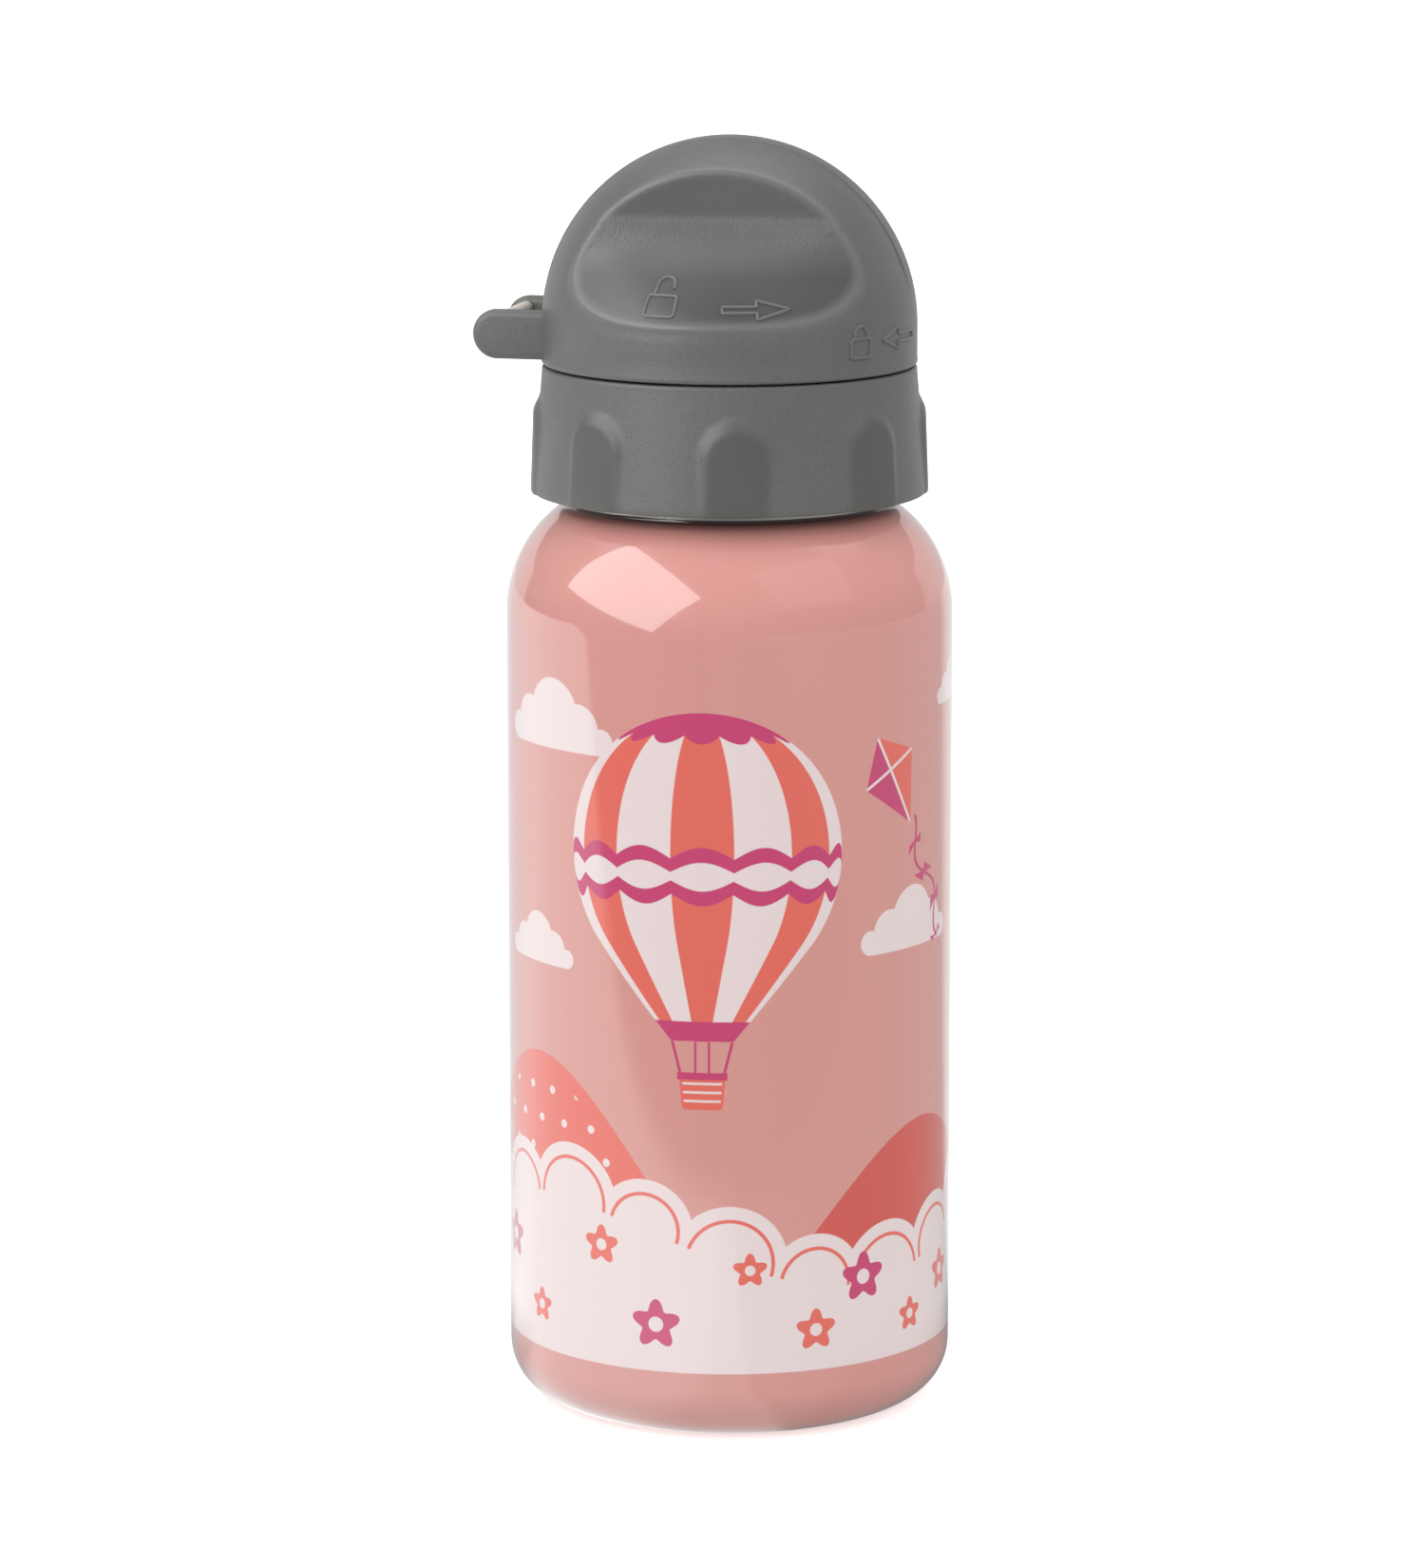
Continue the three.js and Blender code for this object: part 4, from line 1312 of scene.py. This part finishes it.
def make_dome():
    points, faces = dome_shell()
    points = turned_about_z(points, GRIP_FRAME)
    shell = build_mesh("dome_shell", points, faces, grey_plastic, 40)
    face_outwards(shell)
    hole = rod_mesh(PIN_RADIUS + PIN_PLAY, PIN_HALF_LENGTH + PIN_PLAY, 0.05)
    boss = section_ring("pad_boss", *BOSS, grey_plastic)
    dome = fuse("dome", [shell, ear_mesh(-1), ear_mesh(1), boss], [hole], grey_plastic, 40)
    mark_finish(dome.data)
    return dome


settle(make_dome(), "dome", "grey_plastic", "dome_cover")
pin = place("carry_pin", rod_mesh(PIN_RADIUS, PIN_HALF_LENGTH, 0.2))
settle(pin, "dome", "pin_metal", "loop_pin")


# Raised strokes: turning marks, threads and latch ridges


def make_stroke_tree():
    """Sweeps a round section along every line of points that it is given."""
    tree, given, leave = group_tree(
        "raised_strokes",
        "GeometryNodeTree",
        [
            ("Geometry", "Lines"),
            ("Float", "Stroke Radius", MARK_STROKE * MM),
            ("Int", "Sides", STROKE_SIDES),
            ("Material", "Material"),
        ],
        [("Geometry", "Strokes")],
    )
    lines = add_node(tree, "GeometryNodeMeshToCurve", Mesh=given["Lines"])
    section = add_node(
        tree,
        "GeometryNodeCurvePrimitiveCircle",
        Radius=given["Stroke Radius"],
        Resolution=given["Sides"],
    )
    swept = add_node(
        tree,
        "GeometryNodeCurveToMesh",
        Curve=lines.outputs[0],
        Profile_Curve=section.outputs[0],
        Fill_Caps=True,
    )
    return close_tree(swept.outputs[0], given["Material"], leave)


STROKES = make_stroke_tree()


def make_strokes(name, paths, radius, material, body, slot):
    """A piece of raised strokes along paths, each given as (points, whether it closes)."""
    points, edges = [], []
    for path, closes in paths:
        start = len(points)
        points += [list(point) for point in path]
        edges += [(start + i, start + i + 1) for i in range(len(path) - 1)]
        if closes:
            edges.append((len(points) - 1, start))
    mesh = plain_mesh(name + "_lines", points, [], edges)
    values = {"Stroke Radius": radius * MM, "Sides": STROKE_SIDES, "Material": material}
    made = made_by(name, mesh, STROKES, values)
    finish_mesh(made, material, 50)
    # The strokes are painted paler, a painted highlight, and made smoother.
    set_values(made, "polish_and_highlight", np.full(len(made.vertices), STROKE_POLISH_AND_HIGHLIGHT))
    settle(place(name, made), body, slot)


def ramp(radius, foot, rise, start, end, steps):
    """A line that climbs round +Z between two angles in degrees."""
    share = np.linspace(0, 1, steps)
    angle = np.radians(start + (end - start) * share)
    return np.stack([radius * np.cos(angle), radius * np.sin(angle), foot + rise * share], -1)


def latch_ridges(radius, foot, first):
    """Four short ramps, a quarter turn apart."""
    turns = [(start, start + LATCH_ARC, LATCH_STEPS) for start in range(first, 360, 90)]
    return [(ramp(radius, foot, LATCH_RISE, *angles), False) for angles in turns]


def arrow_outline(length, shaft, head_length, head):
    neck = length - head_length
    tip = [(neck, shaft), (neck, head), (length, 0), (neck, -head), (neck, -shaft)]
    return [(0, shaft), *tip, (0, -shaft)]


def padlock_outlines(is_open):
    """The body and the shackle of a padlock sign, in degrees about its middle."""
    half, bottom, top, leg, lift, corner = PADLOCK
    right, upper, lower = half - corner, top - corner, bottom + corner
    body = []
    for i, middle in enumerate(((right, upper), (-right, upper), (-right, lower), (right, lower))):
        body += arc(*middle, corner, 90 * i, 90 * i + 90, 4).tolist()
    lift = lift if is_open else 0.0
    bow = arc(0, top + 1.2 + lift, leg, 0, 180, 12).tolist()
    return [(body, True), ([[leg, top + lift]] + bow + [[-leg, top]], False)]


def on_dome(outline, closes, side, middle, scale=(1, 1)):
    """A mark's outline, given in degrees from the ears' frame, laid on the outside of the dome."""
    corners = np.array(outline, float) * scale + (side + middle[0], middle[1])
    if closes:
        corners = np.vstack([corners, corners[:1]])
    dense = []
    for start, end in zip(corners[:-1], corners[1:]):
        count = max(1, math.ceil(np.hypot(*(end - start)) / MARK_STEP))
        dense += [start + (end - start) * i / count for i in range(count)]
    if not closes:
        dense.append(corners[-1])
    across, up = np.radians(np.array(dense)).T
    across = across - GRIP_TURN
    rays = np.stack([np.cos(up) * np.sin(across), -np.cos(up) * np.cos(across), np.sin(up)], -1)
    return turned_about_z(dome_surface(rays, 0), GRIP_FRAME), closes


def turning_marks():
    """On each side, a padlock and an arrow: open ones in the recess, shut ones on the skirt."""
    big = (OPEN_PADLOCK_SCALE, OPEN_PADLOCK_SCALE)
    paths = []
    for side in (0, 180):
        paths.append(on_dome(arrow_outline(*OPEN_ARROW), True, side, OPEN_ARROW_PLACE))
        paths.append(on_dome(arrow_outline(*SHUT_ARROW), True, side, SHUT_ARROW_PLACE, (-1, 1)))
        for outline, closes in padlock_outlines(True):
            paths.append(on_dome(outline, closes, side, OPEN_PADLOCK_PLACE, big))
        for outline, closes in padlock_outlines(False):
            paths.append(on_dome(outline, closes, side, SHUT_PADLOCK_PLACE))
    return paths


GREY_FINISH = (grey_plastic, "dome", "grey_plastic")
make_strokes("turning_marks", turning_marks(), MARK_STROKE, *GREY_FINISH)
helix = [(ramp(RING_BORE, *RING_THREAD), False)]
make_strokes("ring_thread", helix, THREAD_STROKE, grey_plastic, "ring", "grey_plastic")
ridges = latch_ridges(COLLAR_RADIUS, COLLAR_LATCH_FOOT, 40)
make_strokes("collar_latches", ridges, LATCH_STROKE, pale_plastic, "deck", "pale_plastic")
ridges = latch_ridges(DOME_RADIUS - DOME_WALL, DOME_LATCH_FOOT, 0)
make_strokes("dome_latches", ridges, LATCH_STROKE - 0.1, *GREY_FINISH)


# Spout deck, spout and seals


def seal_groove(wall, seal):
    radius, level, tube = seal
    floor, half = radius - tube - CLEARANCE, tube + CLEARANCE
    low, high = level - half, level + half
    return [[wall, low], [floor, low], [floor, high], [wall, high]]


def deck_outline():
    bead = RING_TOP + CLEARANCE
    return [
        [TOWER_BORE, FLANGE_BOTTOM],
        [SPIGOT_INNER_RADIUS, FLANGE_BOTTOM],
        [SPIGOT_INNER_RADIUS, SPIGOT_BOTTOM],
        [SPIGOT_RADIUS - EASE, SPIGOT_BOTTOM],
        [SPIGOT_RADIUS, SPIGOT_BOTTOM + EASE],
        [SPIGOT_RADIUS, FLANGE_BOTTOM],
        [FLANGE_RADIUS, FLANGE_BOTTOM],
        [FLANGE_RADIUS, FLANGE_TOP],
        [COLLAR_RADIUS, FLANGE_TOP],
        [COLLAR_RADIUS, bead - 0.15],
        [COLLAR_BEAD_RADIUS, bead],
        [COLLAR_RADIUS, bead + 0.6],
        *seal_groove(COLLAR_RADIUS, DOME_SEAL),
        [COLLAR_RADIUS, COLLAR_TOP - EASE],
        [COLLAR_RADIUS - EASE, COLLAR_TOP],
        [COLLAR_INNER_RADIUS, COLLAR_TOP],
        [COLLAR_INNER_RADIUS, FLANGE_TOP],
        [TOWER_RADIUS, FLANGE_TOP],
        [TOWER_RADIUS, WAIST[0] - EASE],
        [WAIST_RADIUS, WAIST[0]],
        [WAIST_RADIUS, WAIST[1]],
        [TOWER_RADIUS, WAIST[1] + EASE],
        *seal_groove(TOWER_RADIUS, SPOUT_SEAL),
        [TOWER_RADIUS, TOWER_TOP - EASE],
        [TOWER_RADIUS - EASE, TOWER_TOP],
        [TOWER_BORE, TOWER_TOP],
    ]


def web_mesh(angle):
    """One thin web from the plug's stem into the wall of the tower."""
    length, thickness, *levels = WEB
    half = thickness / 2
    plan = ((0, -half), (length, -half), (length, half), (0, half))
    corners = np.array([(x, y, z) for z in levels for x, y in plan], float)
    faces = [(0, 3, 2, 1), (4, 5, 6, 7), (0, 1, 5, 4), (1, 2, 6, 5), (2, 3, 7, 6), (3, 0, 4, 7)]
    return build_mesh("web", turned_about_z(corners, angle), faces, pale_plastic)


def over_valve(mesh):
    """Moves a mesh from the axis to the place of the air valve."""
    mesh.transform(Matrix.Translation((0, VALVE_OFFSET * MM, 0)))
    return mesh


def make_deck():
    plate = turned_mesh("deck_plate", eased(deck_outline(), 0.15), pale_plastic, 144)
    bottom = WEB[2]
    plug_outline = [
        [0, bottom],
        [PLUG_STEM / 2, bottom],
        [PLUG_STEM, bottom + PLUG_STEM],
        [PLUG_STEM, PLUG_TOP - PLUG_HEAD - 0.6],
        [PLUG_RADIUS, PLUG_TOP - PLUG_HEAD],
        [PLUG_RADIUS, PLUG_TOP - EASE],
        [PLUG_RADIUS - EASE, PLUG_TOP],
        [0, PLUG_TOP],
    ]
    stem = turned_mesh("plug", eased(plug_outline), pale_plastic, 64)
    webs = [web_mesh(2 * math.pi * i / WEB_COUNT) for i in range(WEB_COUNT)]
    radius = VALVE_STEM + CLEARANCE
    bore = [[0, 150], [radius, 150], [radius, 154], [0, 154]]
    hole = over_valve(turned_mesh("valve_hole", bore, pale_plastic, 48))
    return fuse("deck", [plate, stem, *webs], [hole], pale_plastic)


def mouthpiece_outline():
    grip_radius, grip_level, grip_round = MOUTH_GRIP
    bead_radius, bead_level, bead_round = MOUTH_BEAD
    snap = WAIST[0] + 0.6
    bore = WAIST_RADIUS + CLEARANCE
    lip_radius, lip_level = MOUTH_NECK_RADIUS - MOUTH_TOP_ROUND, MOUTH_TOP - MOUTH_TOP_ROUND
    return np.vstack(
        [
            [
                [MOUTH_BORE, MOUTH_BOTTOM],
                [MOUTH_LOWER_RADIUS - EASE, MOUTH_BOTTOM],
                [MOUTH_LOWER_RADIUS, MOUTH_BOTTOM + EASE],
                [MOUTH_LOWER_RADIUS, grip_level - 2 * grip_round],
            ],
            arc(grip_radius, grip_level, grip_round, -60, 60, 12),
            [
                [MOUTH_LOWER_RADIUS - EASE, grip_level + 1.5],
                [MOUTH_NECK_RADIUS + 0.6, MOUTH_NECK_BASE - 1.5],
                [MOUTH_NECK_RADIUS, MOUTH_NECK_BASE],
                [MOUTH_NECK_RADIUS, bead_level - bead_round - 0.6],
            ],
            arc(bead_radius, bead_level, bead_round, -50, 50, 12),
            [[MOUTH_NECK_RADIUS, lip_level - 0.05]],
            arc(lip_radius, lip_level, MOUTH_TOP_ROUND, 0, 90, 8),
            [
                [MOUTH_HOLE, MOUTH_TOP],
                [MOUTH_HOLE, MOUTH_TOP - 1.7],
                [DRINK_RADIUS, MOUTH_TOP - 2.3],
                [DRINK_RADIUS, MOUTH_NECK_BASE - 1.5],
                [MOUTH_BORE, TOWER_TOP + CLEARANCE],
                [MOUTH_BORE, snap + 1.1],
                [bore, snap + 0.8],
                [bore, snap],
                [MOUTH_BORE, snap - 0.3],
            ],
        ]
    )


def seal_mesh(name, seal, columns):
    return turned_mesh(name, arc(*seal, -180, 165, 23), silicone, columns)


def valve_mesh():
    (low_radius, low), (high_radius, high) = VALVE_FLAP
    (knob_radius, knob), (tip_radius, tip) = VALVE_KNOB
    flap = [[0, low], [low_radius, low], [high_radius, high], [VALVE_STEM, high]]
    outline = flap + [[VALVE_STEM, knob], [knob_radius, knob], [tip_radius, tip], [0, tip]]
    return over_valve(turned_mesh("air_flap", eased(outline, 0.2), silicone, 64))


def pad_mesh():
    radius, bottom, top = PAD
    stem, stem_top = PAD_STEM
    foot = [[0, bottom], [radius - EASE, bottom], [radius, bottom + EASE], [radius, top]]
    outline = foot + [[stem, top], [stem, stem_top], [0, stem_top]]
    return turned_mesh("pad", eased(outline, 0.2), silicone, 80)


settle(make_deck(), "deck", "pale_plastic", "spout_deck")
spout = turned_mesh("spout", eased(mouthpiece_outline(), 0.25), spout_plastic, 128)
settle(place("spout", spout), "spout", "mouthpiece_plastic", "mouthpiece")
for mesh, body, node in (
    (section_ring("gasket", *GASKET, silicone), "deck", "neck_gasket"),
    (seal_mesh("spout_ring", SPOUT_SEAL, 96), "deck", "mouthpiece_seal"),
    (seal_mesh("collar_ring", DOME_SEAL, 160), "deck", "dome_seal"),
    (valve_mesh(), "deck", "air_valve"),
    (pad_mesh(), "dome_pad", "crown_pad"),
):
    settle(place(mesh.name, mesh), body, "clear_silicone", node)


# Studio


def softbox(name, centre, across, up, width, height, radiance):
    """A flat lamp facing the object, by how bright its face is. across and up are its edges."""
    lamp = bpy.data.lights.new(name, "AREA")
    lamp.shape = "RECTANGLE"
    lamp.size = width
    lamp.size_y = height
    lamp.energy = radiance * math.pi * width * height
    holder = place(name, lamp)
    x_axis = Vector(across).normalized()
    z_axis = x_axis.cross(Vector(up)).normalized()
    if z_axis.dot(Vector(centre)) < 0:
        z_axis = -z_axis
    turned = Matrix((x_axis, z_axis.cross(x_axis), z_axis)).transposed().to_4x4()
    holder.matrix_world = Matrix.Translation(Vector(centre)) @ turned
    return holder


def make_world():
    """White for the camera and behind the object, darker in front, and an even soft light."""
    world = bpy.data.worlds.new("studio")
    bpy.context.scene.world = world
    world.use_nodes = True
    tree = world.node_tree
    x, y, z = split(tree, tree.nodes.new("ShaderNodeTexCoord").outputs["Generated"])
    away = largest(y, 0.01)
    across, up = x / away, z / away
    wall = smooth_step(across, *WALL_START) * (1.0 - smooth_step(across, *WALL_END))
    wall = wall * (1.0 - smooth_step(up - across * WALL_TOP_SLOPE, *WALL_TOP))
    wall = wall * smooth_step(y, 0.0, 0.05)
    level = smooth_step(across, *WALL_SHADE) * (WALL_RIGHT - WALL_LEFT) + WALL_LEFT
    top = smooth_step(z, 0.6, 0.95) * smooth_step(y, -0.2, 0.3) * TOP_GLOW
    mirrored = wall * (level - ROOM_GLOW) + top + ROOM_GLOW
    rays = tree.nodes.new("ShaderNodeLightPath").outputs
    camera = Term(rays["Is Camera Ray"])
    sharp = largest(Term(rays["Is Glossy Ray"]), Term(rays["Is Transmission Ray"]))
    soft = smooth_step(z, 0.0, 0.9) * (FILL_HIGH - FILL_LOW)
    soft = soft + smooth_step(x, -0.2, 0.8) * FILL_RIGHT + FILL_LOW
    strength = camera + sharp * mirrored + (1.0 - largest(camera, sharp)) * soft
    fill(tree.nodes["Background"], Color=(1, 1, 1, 1), Strength=strength)


def make_floor():
    """A wide sheet of white paper, which mirrors as brighter behind and on the left."""
    half = FLOOR_HALF
    corners = [(-half, -half, 0), (half, -half, 0), (half, half, 0), (-half, half, 0)]
    mesh = plain_mesh("floor", corners, [(0, 1, 2, 3)])
    floor = place("floor", mesh)
    material, tree, shader = new_material("floor_paper", (0.9, 0.9, 0.9, 1))
    rays = tree.nodes.new("ShaderNodeLightPath").outputs
    fill(
        shader,
        Base_Color=(0.86, 0.86, 0.86, 1),
        Roughness=0.9,
        Specular_IOR_Level=0.1,
        Emission_Color=(1, 1, 1, 1),
        Emission_Strength=Term(rays["Is Camera Ray"]) * FLOOR_GLOW,
    )
    x, y, _ = split(tree, tree.nodes.new("ShaderNodeTexCoord").outputs["Object"])
    side = x / largest(y, 0.01)
    level = smooth_step(side, *PAPER_SIDE) * (PAPER_BACK - PAPER_LEFT) + PAPER_LEFT
    level = level + smooth_step(side, *PAPER_CORNER) * (PAPER_RIGHT - PAPER_BACK)
    beside = 1.0 - smooth_step(length_of(x, y), *BESIDE)
    level = level * (1.0 - beside * smooth_step(x * 0.5 + y, *BEHIND) * BESIDE_DARKER)
    right = smooth_step(x, *PAPER_NEAR) * (PAPER_RIGHT - PAPER_FRONT)
    mirrored = smooth_step(y, *PAPER_EDGE) * (level - PAPER_FRONT)
    mirrored = largest(mirrored, right) + PAPER_FRONT
    seen = shader.outputs[0]
    for ray, glow in (("Is Diffuse Ray", BOUNCE_GLOW), ("Is Glossy Ray", mirrored)):
        answer = add_node(tree, "ShaderNodeEmission", Strength=glow)
        mixer = tree.nodes.new("ShaderNodeMixShader")
        for socket, item in zip(mixer.inputs, (rays[ray], seen, answer.outputs[0])):
            plug(socket, item)
        seen = mixer.outputs[0]
    plug(tree.nodes["Material Output"].inputs[0], seen)
    mesh.materials.append(material)


def make_camera():
    camera = place("camera", bpy.data.cameras.new("camera"))
    camera.location = (0, -0.949, 0.2728)
    camera.rotation_euler = (math.radians(90 - 10.76), 0, 0)
    camera.data.lens = 149.1
    camera.data.sensor_width = 36
    camera.data.shift_x = -0.0109
    camera.data.clip_start = 0.01
    camera.data.clip_end = 20
    bpy.context.scene.camera = camera


make_world()
make_floor()
make_camera()
KEY_SIDES = ((0.296, -0.901, -0.318), (0.627, -0.138, 0.765), 1.26, 0.82)
CARD_SIDES = ((0.66, 0.75, 0), (-0.46, 0.41, 0.79), 0.8, 0.7)
softbox("key", (-0.745, -0.449, 0.643), *KEY_SIDES, KEY_GLOW).visible_glossy = False
softbox("sheen", (-0.73, -0.44, 0.63), *KEY_SIDES, SHEEN_GLOW).visible_diffuse = False
softbox("card", (0.62, -0.55, 0.78), *CARD_SIDES, CARD_GLOW)

scene = bpy.context.scene
scene.view_settings.view_transform = "Standard"
